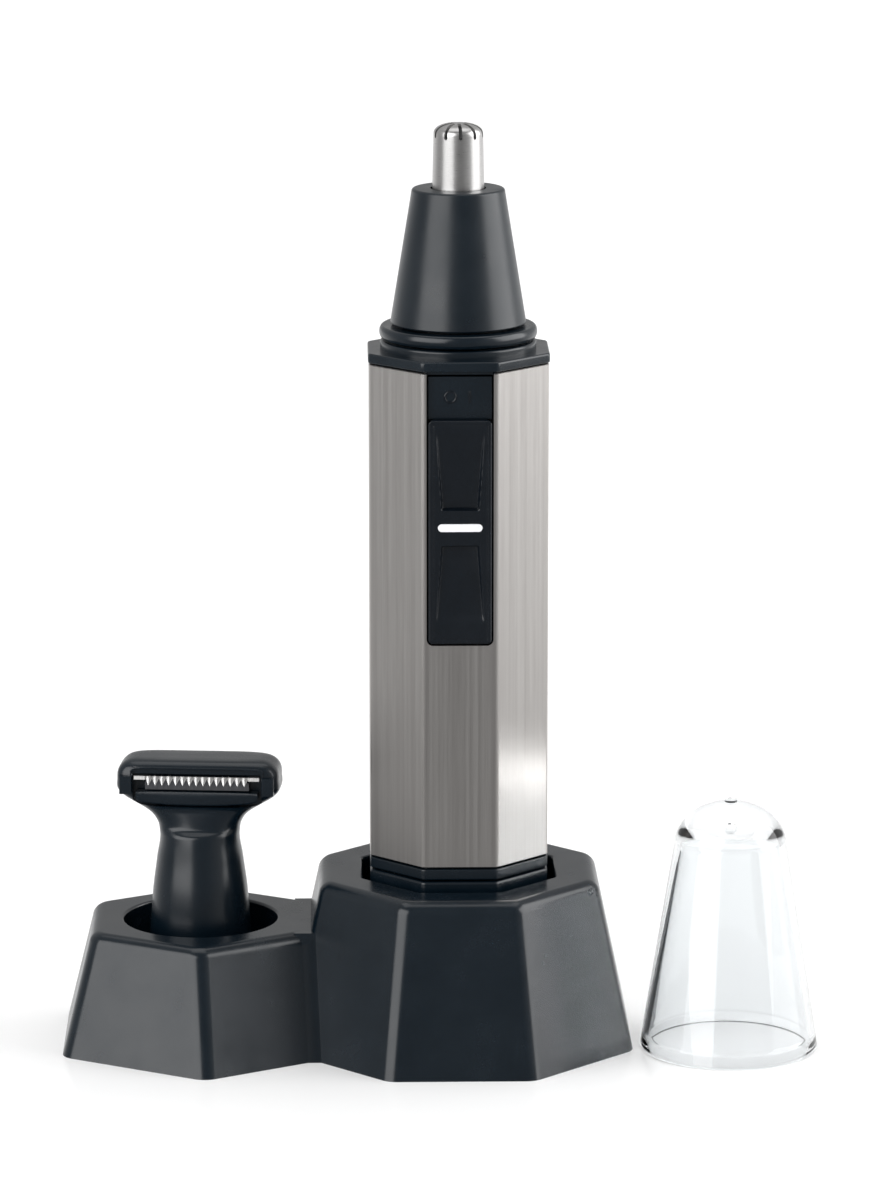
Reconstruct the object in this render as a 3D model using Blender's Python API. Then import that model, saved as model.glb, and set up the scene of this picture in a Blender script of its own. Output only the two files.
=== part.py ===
"""Nose hair trimmer in its storage stand, with a spare T-blade head and a clear cap.

Run it with: blender --background --python part.py
Sizes are in millimetres, and each mesh is scaled to metres as it is made. +Z is up.
The origin is on the handle's axis, where the stand meets the table.
"""

import math

import bmesh
import bpy
from mathutils import Matrix

MM = 0.001
GAP = 0.3  # clearance between two pieces that touch or run on each other

# Cell and motor: bought-in sizes that set the handle's length.
CELL_RADIUS = 7.25
CELL_LENGTH = 49.5
CELL_NUB_RADIUS = 2.75
CELL_NUB_HEIGHT = 1.0
CELL_CHAMFER = 0.4
MOTOR_RADIUS = 10.0
MOTOR_FLATS = 15.1
MOTOR_LENGTH = 22.0
MOTOR_WALL = 0.8
MOTOR_BOSS_RADIUS = 3.0
MOTOR_BOSS_HEIGHT = 1.4
MOTOR_CAP_HEIGHT = 1.4
MAGNET_HALF_ANGLE = math.radians(38)
MAGNET_FOOT = 2.5
ARMATURE_CLEARANCE = 0.9
POLE_COUNT = 3
POLE_SLOT_RADIUS = 1.5
COMMUTATOR_RADIUS = 2.2
TERMINAL_REACH = 5.5
TERMINAL_HALF_WIDTH = 1.2
SHAFT_RADIUS = 1.0

# Handle.
HANDLE_FLATS = 28.0
HANDLE_CORNER = 1.1
SLEEVE_WALL = 0.8
CHASSIS_WALL_TOP = 1.5
RING_HEIGHT = 1.7
RING_SPIGOT_HEIGHT = 7.5
CAP_LENGTH = 16.5
CAP_FLOOR = 2.0
CAP_WALL = 2.8
CAP_SPIGOT_HEIGHT = 5.0
CAP_SPIGOT_WALL = 1.4
CELL_CLEARANCE = 0.65
SPRING_HEIGHT = 2.7
SPRING_RADIUS = 4.0
SPRING_WIRE = 0.4
POSITIVE_CONTACT_RADIUS = 5.0
CONTACT_THICKNESS = 0.4
PARTITION = 1.4
TERMINAL_HEIGHT = 1.7
COUPLER_ROOM = 8.7
COLLAR_OVERHANG = 0.15
COLLAR_HEIGHT = 1.5
COLLAR_DISC_RADIUS = 12.2
COLLAR_DISC_HEIGHT = 1.3
NECK_RING_RADIUS = 12.39
NECK_RING_HEIGHT = 2.0

# Slide switch in the front of the sleeve.
WINDOW_WIDTH = 10.4
WINDOW_LENGTH = 42.9
BUTTON_LENGTH = 35.4
BUTTON_PROUD = 0.5
BUTTON_PLATE = 1.05
BUTTON_FLANGE = 1.1
FLANGE_THICKNESS = 1.0
CONTACT_DEPTH = 1.8
BUTTON_TRAVEL = 4.0
WELL_HALF_WIDTH = 3.6
WELL_HALF_LENGTH = 6.4
WELL_DEPTH = 1.3
WELL_OFFSET = 9.6
INDEX_LENGTH = 6.9
INDEX_HEIGHT = 1.2
INDEX_DEPTH = 0.5
INDEX_RISE = 0.8
BUTTON_CLEARANCE = 0.25
CONTACT_LOW = 9.0
CONTACT_HIGH = 25.0
BRIDGE_LOW = 13.0
BRIDGE_LENGTH = 6.0
BRIDGE_THICKNESS = 0.9

# Drive from the motor to a cutting head.
COUPLER_RADIUS = 3.2
COUPLER_HALF_RADIUS = 3.0
COUPLER_ROOM_AROUND = 1.4
INSERT_CLEARANCE = 0.7
INSERT_TOP = 2.3
DOG_INNER = 0.8
DOG_OUTER = 2.6
DOG_HALF_WIDTH = 1.0

# Nose head.
HEAD_SPIGOT_RADIUS = 8.5
HEAD_SPIGOT_HEIGHT = 2.0
HEAD_BASE_RADIUS = 10.58
HEAD_TOP_RADIUS = 7.29
HEAD_HEIGHT = 21.14
HEAD_WALL = 1.4
HEAD_EDGE = 0.8
TUBE_RADIUS = 4.1
TUBE_TOP_RADIUS = 3.86
TUBE_WALL = 0.4
TUBE_STRAIGHT = 6.96
DOME_HEIGHT = 3.2
ROTOR_RADIUS = 1.6
ROTOR_FOOT = 0.2
ROTOR_RISE = 0.9
ROTOR_COLLAR_RADIUS = 2.9
ROTOR_COLLAR_DEPTH = 4.5
ROTOR_COLLAR_HEIGHT = 1.0
ROTOR_WIRE = 0.3
COUPLER_SOCKET_HEIGHT = 4.5
HUB_RADIUS = 1.5
WING_THICKNESS = 0.8
SLOT_COUNT = 10
SLOT_WIDTH = 0.55
SLOT_HUB_RADIUS = 1.0
SLOT_RISE = 0.9
SLOT_TURN = math.radians(4.5)

# Stand.
STAND_WALL = 2.0
STAND_CORNER = 3.2
STAND_EDGE = 1.8
PLATE_THICKNESS = 2.0
SOCKET_CLEARANCE = 1.225
SOCKET_WALL = 1.8
SOCKET_FLOOR_TOP = 11.7
MAIN_HEIGHT = 27.2
MAIN_RIM = 6.575
MAIN_FLARE = 11.4
SIDE_HEIGHT = 19.3
SIDE_RIM = 4.86
SIDE_FLARE = 11.4
SIDE_LEAN = 1.0
HOLE_CLEARANCE = 1.61
CUP_WALL = 1.5
CUP_FLOOR = 1.3
LOBE_GAP = 2.15
WEB_HALF_WIDTH = 2.5
WEB_FILL = 0.8
BOSS_RADIUS = 2.5
SCREW_RADIUS = 1.1
SCREW_HEAD_RADIUS = 2.4
SCREW_HEAD_HEIGHT = 0.8
SCREW_LENGTH = 7.8
MAIN_BOSS_TOP = 20.0
SIDE_BOSS_TOP = 14.5
MAIN_BOSS_INSET = 1.6
SIDE_BOSS_INSET = 1.7

# Spare T-blade head.
SPARE_TURN = math.radians(-5.5)
SPARE_WALL = 1.4
BAR_HALF_WIDTH = 12.9
BAR_FRONT = 4.3
COMB_HALF_WIDTH = 9.95
COMB_THICKNESS = 0.6
TOOTH_COUNT = 15
TOOTH_SPAN = 16.3
BLADE_HALF_WIDTH = 8.25
BLADE_TRAVEL = 0.7
ECCENTRICITY = 0.6
PIN_RADIUS = 0.8

# Clear cap, standing on the table beside the stand.
CLEAR_STANDOFF = 1.2
CLEAR_Y = -8.5
CLEAR_BASE_RADIUS = 14.1
CLEAR_TOP_RADIUS = 8.85
CLEAR_SHOULDER = 33.0
CLEAR_DOME = 6.9
CLEAR_WALL = 1.3
CLEAR_CROWN = 3.6
CLEAR_NUB_RADIUS = 0.95
CLEAR_NUB_HEIGHT = 0.4

# Heights up the handle, each from the piece below it.
HANDLE_BOTTOM = SOCKET_FLOOR_TOP + GAP
CAP_TOP = HANDLE_BOTTOM + CAP_LENGTH
RING_BOTTOM = CAP_TOP + GAP
RING_TOP = RING_BOTTOM + RING_HEIGHT
SLEEVE_BOTTOM = RING_TOP + GAP
PLATE_Z = HANDLE_BOTTOM + CAP_FLOOR + GAP
SPRING_Z = PLATE_Z + CONTACT_THICKNESS + GAP
CELL_BOTTOM = SPRING_Z + SPRING_HEIGHT + GAP
CELL_TOP = CELL_BOTTOM + CELL_LENGTH
CONTACT_Z = CELL_TOP + CELL_NUB_HEIGHT + GAP
PARTITION_Z = CONTACT_Z + CONTACT_THICKNESS + GAP
TERMINAL_Z = PARTITION_Z + PARTITION + GAP
MOTOR_CAP_Z = TERMINAL_Z + TERMINAL_HEIGHT + GAP
MOTOR_Z = MOTOR_CAP_Z + MOTOR_CAP_HEIGHT + GAP
MOTOR_TOP = MOTOR_Z + MOTOR_LENGTH
LEDGE_Z = MOTOR_TOP + MOTOR_BOSS_HEIGHT + GAP
CHASSIS_BOTTOM = RING_TOP + RING_SPIGOT_HEIGHT + GAP
CHASSIS_TOP = LEDGE_Z + CHASSIS_WALL_TOP + COUPLER_ROOM
SLEEVE_TOP = CHASSIS_TOP + 2 * GAP
COLLAR_Z = SLEEVE_TOP + GAP
DISC_Z = COLLAR_Z + COLLAR_HEIGHT
COLLAR_TOP = DISC_Z + COLLAR_DISC_HEIGHT
NECK_Z = COLLAR_TOP + GAP
NECK_TOP = NECK_Z + NECK_RING_HEIGHT
HEAD_Z = NECK_TOP + GAP
HEAD_TOP = HEAD_Z + HEAD_HEIGHT
TUBE_TOP = HEAD_TOP + TUBE_STRAIGHT
WINDOW_Z = SLEEVE_TOP - WINDOW_LENGTH
BUTTON_Z = WINDOW_Z + GAP
BUTTON_TOP = BUTTON_Z + BUTTON_LENGTH

# Sizes across the handle, each from the piece around it.
CHASSIS_FLATS = HANDLE_FLATS - 2 * SLEEVE_WALL - 2 * GAP
SLEEVE_FACE = HANDLE_FLATS / 2
FLANGE_REACH = WINDOW_WIDTH / 2 + BUTTON_FLANGE
FLANGE_FRONT = min(
    SLEEVE_FACE - SLEEVE_WALL - GAP,
    (SLEEVE_FACE - SLEEVE_WALL - GAP) * math.sqrt(2) - FLANGE_REACH,
)
FLANGE_BACK = FLANGE_FRONT - FLANGE_THICKNESS
POCKET_FLOOR = FLANGE_BACK - GAP
CONTACT_FLOOR = POCKET_FLOOR - CONTACT_DEPTH
CELL_BORE = CELL_RADIUS + CELL_CLEARANCE
SPIGOT_RADIUS = CELL_BORE + CAP_SPIGOT_WALL
MOTOR_BORE = MOTOR_RADIUS + GAP
COUPLER_BORE = COUPLER_RADIUS + COUPLER_ROOM_AROUND

# Stand sizes from what it holds.
SOCKET_FLATS = HANDLE_FLATS + 2 * SOCKET_CLEARANCE
MAIN_TOP_FLATS = SOCKET_FLATS + 2 * MAIN_RIM
HOLE_RADIUS = HEAD_BASE_RADIUS + HOLE_CLEARANCE
SIDE_TOP_FLATS = 2 * (HOLE_RADIUS + SIDE_RIM)
SIDE_X = -(MAIN_TOP_FLATS / 2 + SIDE_TOP_FLATS / 2 + LOBE_GAP)
CUP_FLOOR_TOP = PLATE_THICKNESS + GAP + CUP_FLOOR
SPARE_BOTTOM = CUP_FLOOR_TOP + GAP
CLEAR_X = (MAIN_TOP_FLATS + MAIN_FLARE) / 2 + CLEAR_STANDOFF + CLEAR_BASE_RADIUS

OCTAGON_FIRST = math.pi / 8
HEXAGON_FIRST = -math.pi / 2
FULL_TURN = 2 * math.pi


def finish(name, colour, roughness, metallic=0.0, alpha=1.0):
    """A Principled material of one colour."""
    material = bpy.data.materials.new(name)
    material.use_nodes = True
    shader = material.node_tree.nodes["Principled BSDF"]
    shader.inputs["Base Color"].default_value = (*colour, 1.0)
    shader.inputs["Roughness"].default_value = roughness
    shader.inputs["Metallic"].default_value = metallic
    shader.inputs["Alpha"].default_value = alpha
    return material


def frame(name, parent=None, x=0.0, y=0.0, z=0.0, turn=0.0):
    """An empty on a joint's axis, which carries the pieces that move together."""
    empty = bpy.data.objects.new(name, None)
    bpy.context.collection.objects.link(empty)
    empty.parent = parent
    empty.location = (x * MM, y * MM, z * MM)
    empty.rotation_euler = (0, 0, turn)
    return empty


def piece(name, shape, material, carrier):
    """Turn a bmesh in millimetres into a named object on its carrier."""
    bmesh.ops.recalc_face_normals(shape, faces=shape.faces)
    bmesh.ops.scale(shape, vec=(MM, MM, MM), verts=shape.verts)
    mesh = bpy.data.meshes.new(name)
    shape.to_mesh(mesh)
    shape.free()
    mesh.shade_smooth()
    mesh.set_sharp_from_angle(angle=math.radians(32))
    mesh.materials.append(material)
    made = bpy.data.objects.new(name, mesh)
    bpy.context.collection.objects.link(made)
    made.parent = carrier
    return made


def boolean(target, operation, shape):
    """Cut, add or intersect a bmesh in millimetres, kept as a hidden helper."""
    count = len(target.modifiers) + 1
    helper = piece(f"{target.name}_{operation.lower()}_{count}", shape, None, target.parent)
    helper.hide_render = True
    helper.display_type = "WIRE"
    modifier = target.modifiers.new(helper.name, "BOOLEAN")
    modifier.operation = operation
    modifier.object = helper


def cut(target, shape):
    boolean(target, "DIFFERENCE", shape)


def fuse(target, shape):
    boolean(target, "UNION", shape)


def box(x0, x1, y0, y1, z0, z1):
    """A block between two corners."""
    shape = bmesh.new()
    bmesh.ops.create_cube(shape, size=1.0)
    bmesh.ops.scale(shape, vec=(x1 - x0, y1 - y0, z1 - z0), verts=shape.verts)
    bmesh.ops.translate(shape, vec=((x0 + x1) / 2, (y0 + y1) / 2, (z0 + z1) / 2), verts=shape.verts)
    return shape


def prism(outline, z0, z1):
    """An outline in the XY plane, extruded up from z0 to z1."""
    shape = bmesh.new()
    face = shape.faces.new([shape.verts.new((x, y, z0)) for x, y in outline])
    made = bmesh.ops.extrude_face_region(shape, geom=[face])
    risen = [item for item in made["geom"] if isinstance(item, bmesh.types.BMVert)]
    bmesh.ops.translate(shape, vec=(0, 0, z1 - z0), verts=risen)
    return shape


def loft(rings):
    """A solid through rings of equally many points, closed at both ends."""
    shape = bmesh.new()
    loops = [[shape.verts.new(point) for point in ring] for ring in rings]
    for lower, upper in zip(loops, loops[1:]):
        for index in range(len(lower)):
            after = (index + 1) % len(lower)
            shape.faces.new((lower[index], lower[after], upper[after], upper[index]))
    shape.faces.new(loops[0])
    shape.faces.new(loops[-1])
    return shape


def turned(profile, sides=32, x=0.0, y=0.0):
    """A closed profile of (radius, height) spun about an upright axis. Stretches on the axis are left out."""
    shape = bmesh.new()
    verts = [shape.verts.new((radius, 0, height)) for radius, height in profile]
    pairs = zip(verts, verts[1:] + verts[:1])
    edges = [shape.edges.new(pair) for pair in pairs if pair[0].co.x or pair[1].co.x]
    bmesh.ops.spin(
        shape,
        geom=verts + edges,
        cent=(0, 0, 0),
        axis=(0, 0, 1),
        angle=FULL_TURN,
        steps=sides,
        use_merge=True,
    )
    bmesh.ops.remove_doubles(shape, verts=shape.verts, dist=1e-5)
    bmesh.ops.translate(shape, vec=(x, y, 0), verts=shape.verts)
    return shape


def disc(radius, z0, z1, sides=32, x=0.0, y=0.0):
    """A plain upright cylinder."""
    return turned([(0, z0), (radius, z0), (radius, z1), (0, z1)], sides, x, y)


def washer(inner, outer, z0, z1, sides=32):
    """A plain upright ring."""
    return turned([(inner, z0), (outer, z0), (outer, z1), (inner, z1)], sides)


def polygon(sides, flats, first, corner, steps=3, x=0.0, y=0.0):
    """A regular polygon of a size across its flats, with round corners."""
    half = math.pi / sides
    reach = (flats / 2 - corner) / math.cos(half)
    outline = []
    for number in range(sides):
        aim = first + 2 * half * number
        for step in range(steps + 1):
            turn = aim - half + 2 * half * step / steps
            outline.append(
                (
                    x + reach * math.cos(aim) + corner * math.cos(turn),
                    y + reach * math.sin(aim) + corner * math.sin(turn),
                )
            )
    return outline


def octagon(flats, corner=HANDLE_CORNER, steps=3):
    """The handle's outline: a regular octagon with a flat to the front."""
    return polygon(8, flats, OCTAGON_FIRST, corner, steps)


def flatted(radius, flats, steps=10):
    """A circle with a flat at the front and one at the back, as a small motor has."""
    edge = math.asin(flats / 2 / radius)
    outline = []
    for side in (0, math.pi):
        for step in range(steps + 1):
            turn = side - edge + 2 * edge * step / steps
            outline.append((radius * math.cos(turn), radius * math.sin(turn)))
    return outline


def raised(outline, z):
    return [(x, y, z) for x, y in outline]


def helix(radius, wire, z0, z1, turns, name, material, carrier):
    """A coil spring of round wire, standing between two heights."""
    curve = bpy.data.curves.new(name, "CURVE")
    curve.dimensions = "3D"
    curve.bevel_depth = wire * MM
    curve.bevel_resolution = 1
    curve.use_fill_caps = True
    spline = curve.splines.new("POLY")
    count = int(turns * 10) + 1
    spline.points.add(count - 1)
    for index, point in enumerate(spline.points):
        share = index / (count - 1)
        turn = share * turns * FULL_TURN
        height = z0 + wire + share * (z1 - z0 - 2 * wire)
        point.co = (radius * math.cos(turn) * MM, radius * math.sin(turn) * MM, height * MM, 1)
    curve.materials.append(material)
    made = bpy.data.objects.new(name, curve)
    bpy.context.collection.objects.link(made)
    made.parent = carrier
    return made


def dogs(z0, z1, side):
    """One driving dog of a claw coupling. The other half's dog is on the other side of the axis."""
    ends = sorted((side * DOG_INNER, side * DOG_OUTER))
    return box(ends[0], ends[1], -DOG_HALF_WIDTH, DOG_HALF_WIDTH, z0, z1)


# ---------------------------------------------------------------- stand


def lobe_ring(sides, first, flats, corner, z, x=0.0):
    return raised(polygon(sides, flats, first, max(corner, 0.25), 2, x), z)


def lobe(sides, first, top_flats, flare, height, lean, x, inset=0.0, z0=0.0, edge=STAND_EDGE):
    """A tapered polygonal block with round corners and a round top edge."""

    def ring(z, extra):
        flats = top_flats + flare * (1 - z / height) - 2 * inset - 2 * extra
        return lobe_ring(sides, first, flats, STAND_CORNER - inset - extra, z, x + lean * (1 - z / height))

    top = height - inset
    rings = [ring(z0, 0.0)]
    steps = 3 if edge else 0
    for step in range(steps + 1):
        turn = math.pi / 2 * step / max(steps, 1)
        rings.append(ring(top - edge + edge * math.sin(turn), edge * (1 - math.cos(turn))))
    return loft(rings)


def main_lobe(**options):
    return lobe(8, OCTAGON_FIRST, MAIN_TOP_FLATS, MAIN_FLARE, MAIN_HEIGHT, 0.0, 0.0, **options)


def side_lobe(**options):
    return lobe(6, HEXAGON_FIRST, SIDE_TOP_FLATS, SIDE_FLARE, SIDE_HEIGHT, SIDE_LEAN, SIDE_X, **options)


def web():
    """The narrow facet that fills the valley between the two lobes, front and back."""

    def depth(z):
        main = (MAIN_TOP_FLATS + MAIN_FLARE * (1 - z / MAIN_HEIGHT)) / 2
        side = (SIDE_TOP_FLATS + SIDE_FLARE * (1 - z / SIDE_HEIGHT)) / 2
        centre = SIDE_X + SIDE_LEAN * (1 - z / SIDE_HEIGHT)
        slope = math.tan(math.radians(30))
        # The side lobe's facet falls as slope * (x - centre) - 2 side / sqrt 3, the main one's as -x.
        x = -(main * math.sqrt(2) - 2 * side / math.sqrt(3) - slope * centre) / (1 + slope)
        return x, main * math.sqrt(2) + x + WEB_FILL

    rings = []
    for z in (0.0, SIDE_HEIGHT - 0.01):
        x, y = depth(z)
        left, right = x - WEB_HALF_WIDTH, x + WEB_HALF_WIDTH
        rings.append([(left, -y, z), (right, -y, z), (right, y, z), (left, y, z)])
    return loft(rings)


def screw_places():
    """Two screws under the main lobe's right side and two under the side lobe's corners."""
    reach = (MAIN_TOP_FLATS / 2 - MAIN_BOSS_INSET) / math.sqrt(2)
    deep = SIDE_TOP_FLATS / math.sqrt(3) - SIDE_BOSS_INSET
    main = [(reach, side * reach, MAIN_BOSS_TOP) for side in (-1, 1)]
    return main + [(SIDE_X, side * deep, SIDE_BOSS_TOP) for side in (-1, 1)]


def make_stand(black, steel, carrier):
    shell = piece("stand_shell", main_lobe(), black, carrier)
    fuse(shell, side_lobe())
    fuse(shell, web())
    cut(shell, main_lobe(inset=STAND_WALL, z0=-1.0, edge=0.0))
    cut(shell, side_lobe(inset=STAND_WALL, z0=-1.0, edge=0.0))
    socket_bottom = SOCKET_FLOOR_TOP - SOCKET_WALL
    fuse(shell, prism(octagon(SOCKET_FLATS + 2 * SOCKET_WALL), socket_bottom, MAIN_HEIGHT - 1.0))
    cup_bottom = CUP_FLOOR_TOP - CUP_FLOOR
    fuse(shell, disc(HOLE_RADIUS + CUP_WALL, cup_bottom, SIDE_HEIGHT - 1.0, 48, SIDE_X))
    cut(shell, prism(octagon(SOCKET_FLATS), SOCKET_FLOOR_TOP, MAIN_HEIGHT + 1.0))
    cut(shell, disc(HOLE_RADIUS, CUP_FLOOR_TOP, SIDE_HEIGHT + 1.0, 48, SIDE_X))

    outline = main_lobe_outline(PLATE_THICKNESS)
    plate = piece("stand_base_plate", prism(outline, 0.0, PLATE_THICKNESS), black, carrier)
    fuse(plate, prism(side_lobe_outline(PLATE_THICKNESS), 0.0, PLATE_THICKNESS))

    head_z = GAP - 0.1
    profile = [
        (0, head_z),
        (SCREW_HEAD_RADIUS, head_z),
        (SCREW_HEAD_RADIUS, head_z + SCREW_HEAD_HEIGHT),
        (SCREW_RADIUS, head_z + SCREW_HEAD_HEIGHT),
        (SCREW_RADIUS, head_z + SCREW_LENGTH),
        (0, head_z + SCREW_LENGTH),
    ]
    sink = head_z + SCREW_HEAD_HEIGHT + GAP
    for number, (x, y, top) in enumerate(screw_places(), 1):
        fuse(shell, disc(BOSS_RADIUS, PLATE_THICKNESS + GAP, top, 16, x, y))
        cut(shell, disc(SCREW_RADIUS + GAP, 1.0, head_z + SCREW_LENGTH + GAP, 16, x, y))
        cut(plate, disc(SCREW_RADIUS + GAP, -1.0, PLATE_THICKNESS + 1.0, 16, x, y))
        cut(plate, disc(SCREW_HEAD_RADIUS + GAP, -1.0, sink, 16, x, y))
        piece(f"stand_screw_{number}", turned(profile, 16, x, y), steel, carrier)


def main_lobe_outline(z):
    """The main lobe's inside at a height, less the running gap."""
    flats = MAIN_TOP_FLATS + MAIN_FLARE * (1 - z / MAIN_HEIGHT) - 2 * (STAND_WALL + GAP)
    return polygon(8, flats, OCTAGON_FIRST, STAND_CORNER - STAND_WALL, 3)


def side_lobe_outline(z):
    """The side lobe's inside at a height, less the running gap."""
    flats = SIDE_TOP_FLATS + SIDE_FLARE * (1 - z / SIDE_HEIGHT) - 2 * (STAND_WALL + GAP)
    x = SIDE_X + SIDE_LEAN * (1 - z / SIDE_HEIGHT)
    return polygon(6, flats, HEXAGON_FIRST, STAND_CORNER - STAND_WALL, 3, x)


# ---------------------------------------------------------------- handle


def window(width, length, depth, corner):
    """A block with two round lower corners, open at the sleeve's top."""
    half = width / 2
    bottom = SLEEVE_TOP - length
    outline = [(half, SLEEVE_TOP + 1.0), (-half, SLEEVE_TOP + 1.0)]
    for side, start in ((-1, math.pi), (1, 1.5 * math.pi)):
        for step in range(4):
            turn = start + math.pi / 2 * step / 3
            x = side * (half - corner) + corner * math.cos(turn)
            outline.append((x, bottom + corner + corner * math.sin(turn)))
    return loft([[(x, y, z) for x, z in outline] for y in (-depth, -depth + 6.0)])


def make_sleeve(steel, carrier):
    sleeve = piece("steel_sleeve", prism(octagon(HANDLE_FLATS), SLEEVE_BOTTOM, SLEEVE_TOP), steel, carrier)
    inside = octagon(HANDLE_FLATS - 2 * SLEEVE_WALL, HANDLE_CORNER - SLEEVE_WALL + 0.2)
    cut(sleeve, prism(inside, SLEEVE_BOTTOM - 1.0, SLEEVE_TOP + 1.0))
    cut(sleeve, window(WINDOW_WIDTH, WINDOW_LENGTH, HANDLE_FLATS / 2 + 1.0, 1.0))


def make_bottom_ring(black, carrier):
    ring = piece("bottom_ring", prism(octagon(HANDLE_FLATS), RING_BOTTOM, RING_TOP), black, carrier)
    fuse(ring, prism(octagon(CHASSIS_FLATS), RING_TOP - 0.5, RING_TOP + RING_SPIGOT_HEIGHT))
    shoulder = CAP_TOP + CAP_SPIGOT_HEIGHT + GAP
    cut(ring, disc(SPIGOT_RADIUS + GAP, RING_BOTTOM - 1.0, shoulder))
    cut(ring, disc(CELL_BORE, RING_BOTTOM - 1.0, RING_TOP + RING_SPIGOT_HEIGHT + 1.0))


def make_top(black, carrier):
    collar = piece(
        "top_collar",
        prism(octagon(HANDLE_FLATS + 2 * COLLAR_OVERHANG), COLLAR_Z, DISC_Z),
        black,
        carrier,
    )
    fuse(collar, prism(octagon(CHASSIS_FLATS), CHASSIS_TOP + GAP, COLLAR_Z + 0.5))
    fuse(collar, disc(COLLAR_DISC_RADIUS, DISC_Z - 0.5, COLLAR_TOP, 48))
    cut(collar, disc(COUPLER_BORE, CHASSIS_TOP, COLLAR_TOP + 1.0))

    middle = (NECK_Z + NECK_TOP) / 2
    nose = NECK_RING_HEIGHT / 2
    bore = HEAD_SPIGOT_RADIUS + GAP
    profile = [(bore, NECK_Z)]
    for step in range(6):
        turn = -math.pi / 2 + math.pi * step / 5
        profile.append((NECK_RING_RADIUS - nose * (1 - math.cos(turn)), middle + nose * math.sin(turn)))
    profile.append((bore, NECK_TOP))
    piece("neck_ring", turned(profile, 36), black, carrier)


def chassis_half(name, side, black, carrier):
    """Half of the inner frame, split down the middle, with seats for the cell and the motor."""
    half = piece(name, prism(octagon(CHASSIS_FLATS), CHASSIS_BOTTOM, CHASSIS_TOP), black, carrier)
    ledge_top = LEDGE_Z + CHASSIS_WALL_TOP
    bore = [
        (0, CHASSIS_BOTTOM - 1.0),
        (CELL_BORE, CHASSIS_BOTTOM - 1.0),
        (CELL_BORE, PARTITION_Z),
        (1.6, PARTITION_Z),
        (1.6, PARTITION_Z + PARTITION + 1.0),
        (COUPLER_BORE, PARTITION_Z + PARTITION + 1.0),
        (COUPLER_BORE, ledge_top),
        (MOTOR_RADIUS - 0.5, ledge_top),
        (MOTOR_RADIUS - 0.5, CHASSIS_TOP - CHASSIS_WALL_TOP),
        (COUPLER_BORE, CHASSIS_TOP - CHASSIS_WALL_TOP),
        (COUPLER_BORE, CHASSIS_TOP + 1.0),
        (0, CHASSIS_TOP + 1.0),
    ]
    cut(half, turned(bore, 32))
    cut(half, prism(flatted(MOTOR_BORE, MOTOR_FLATS + 2 * GAP), PARTITION_Z + PARTITION, LEDGE_Z))
    near, far = (0.15, 20.0) if side > 0 else (-20.0, -0.15)
    boolean(half, "INTERSECT", box(-20, 20, near, far, 0, CHASSIS_TOP + 5))
    if side < 0:
        reach = FLANGE_REACH + GAP
        cut(half, box(-reach, reach, -20, -POCKET_FLOOR, BUTTON_Z - 2.0, CHASSIS_TOP + 1.0))
        low, high = switch_contact_span()
        cut(half, box(-4.0, 4.0, -20, -CONTACT_FLOOR, low - GAP, high + GAP))
    else:
        # The strip that brings the cell's negative end up to the switch lies in this groove.
        x = CHASSIS_FLATS / 2
        cut(half, box(x - 0.7, x + 1, 2.0, 5.0, CHASSIS_BOTTOM - 1, MOTOR_Z + 3.3))
    for side_x in (-1, 1):
        x, z = side_x * screw_reach(), screw_height()
        cut(half, cross_hole(SCREW_RADIUS, x, z, -5.0, 12.0))
        if side > 0:
            cut(half, cross_hole(SCREW_HEAD_RADIUS - 0.2, x, z, 3.5, 12.0))


def screw_reach():
    return (CELL_BORE + CHASSIS_FLATS / 2) / 2


def screw_height():
    return (CHASSIS_BOTTOM + PARTITION_Z) / 2


def cross_hole(radius, x, z, y0, y1):
    """A round bar lying along Y."""
    shape = disc(radius, y0, y1, 12)
    for vert in shape.verts:
        vert.co = (vert.co.x + x, vert.co.z, z - vert.co.y)
    return shape


def make_chassis(black, steel, brass, carrier):
    chassis_half("chassis_front", -1, black, carrier)
    chassis_half("chassis_rear", 1, black, carrier)
    for name, side in (("chassis_screw_left", -1), ("chassis_screw_right", 1)):
        x, z = side * screw_reach(), screw_height()
        screw = piece(name, cross_hole(SCREW_RADIUS - GAP, x, z, -4.5, 4.2), steel, carrier)
        fuse(screw, cross_hole(SCREW_HEAD_RADIUS - 0.5, x, z, 3.8, 5.0))
    x = CHASSIS_FLATS / 2
    strip = box(x - 0.4, x - 0.1, 2.3, 4.7, CHASSIS_BOTTOM + 0.2, MOTOR_Z + 3.0)
    piece("negative_strip", strip, brass, carrier)


def make_cell(label, steel, brass, carrier):
    profile = [
        (0, CELL_BOTTOM),
        (CELL_RADIUS - CELL_CHAMFER, CELL_BOTTOM),
        (CELL_RADIUS, CELL_BOTTOM + CELL_CHAMFER),
        (CELL_RADIUS, CELL_TOP - CELL_CHAMFER),
        (CELL_RADIUS - CELL_CHAMFER, CELL_TOP),
        (CELL_NUB_RADIUS, CELL_TOP),
        (CELL_NUB_RADIUS, CELL_TOP + CELL_NUB_HEIGHT),
        (0, CELL_TOP + CELL_NUB_HEIGHT),
    ]
    piece("battery_cell", turned(profile), label, carrier)
    contact = disc(POSITIVE_CONTACT_RADIUS, CONTACT_Z, CONTACT_Z + CONTACT_THICKNESS, 24)
    piece("positive_contact", contact, brass, carrier)


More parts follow.
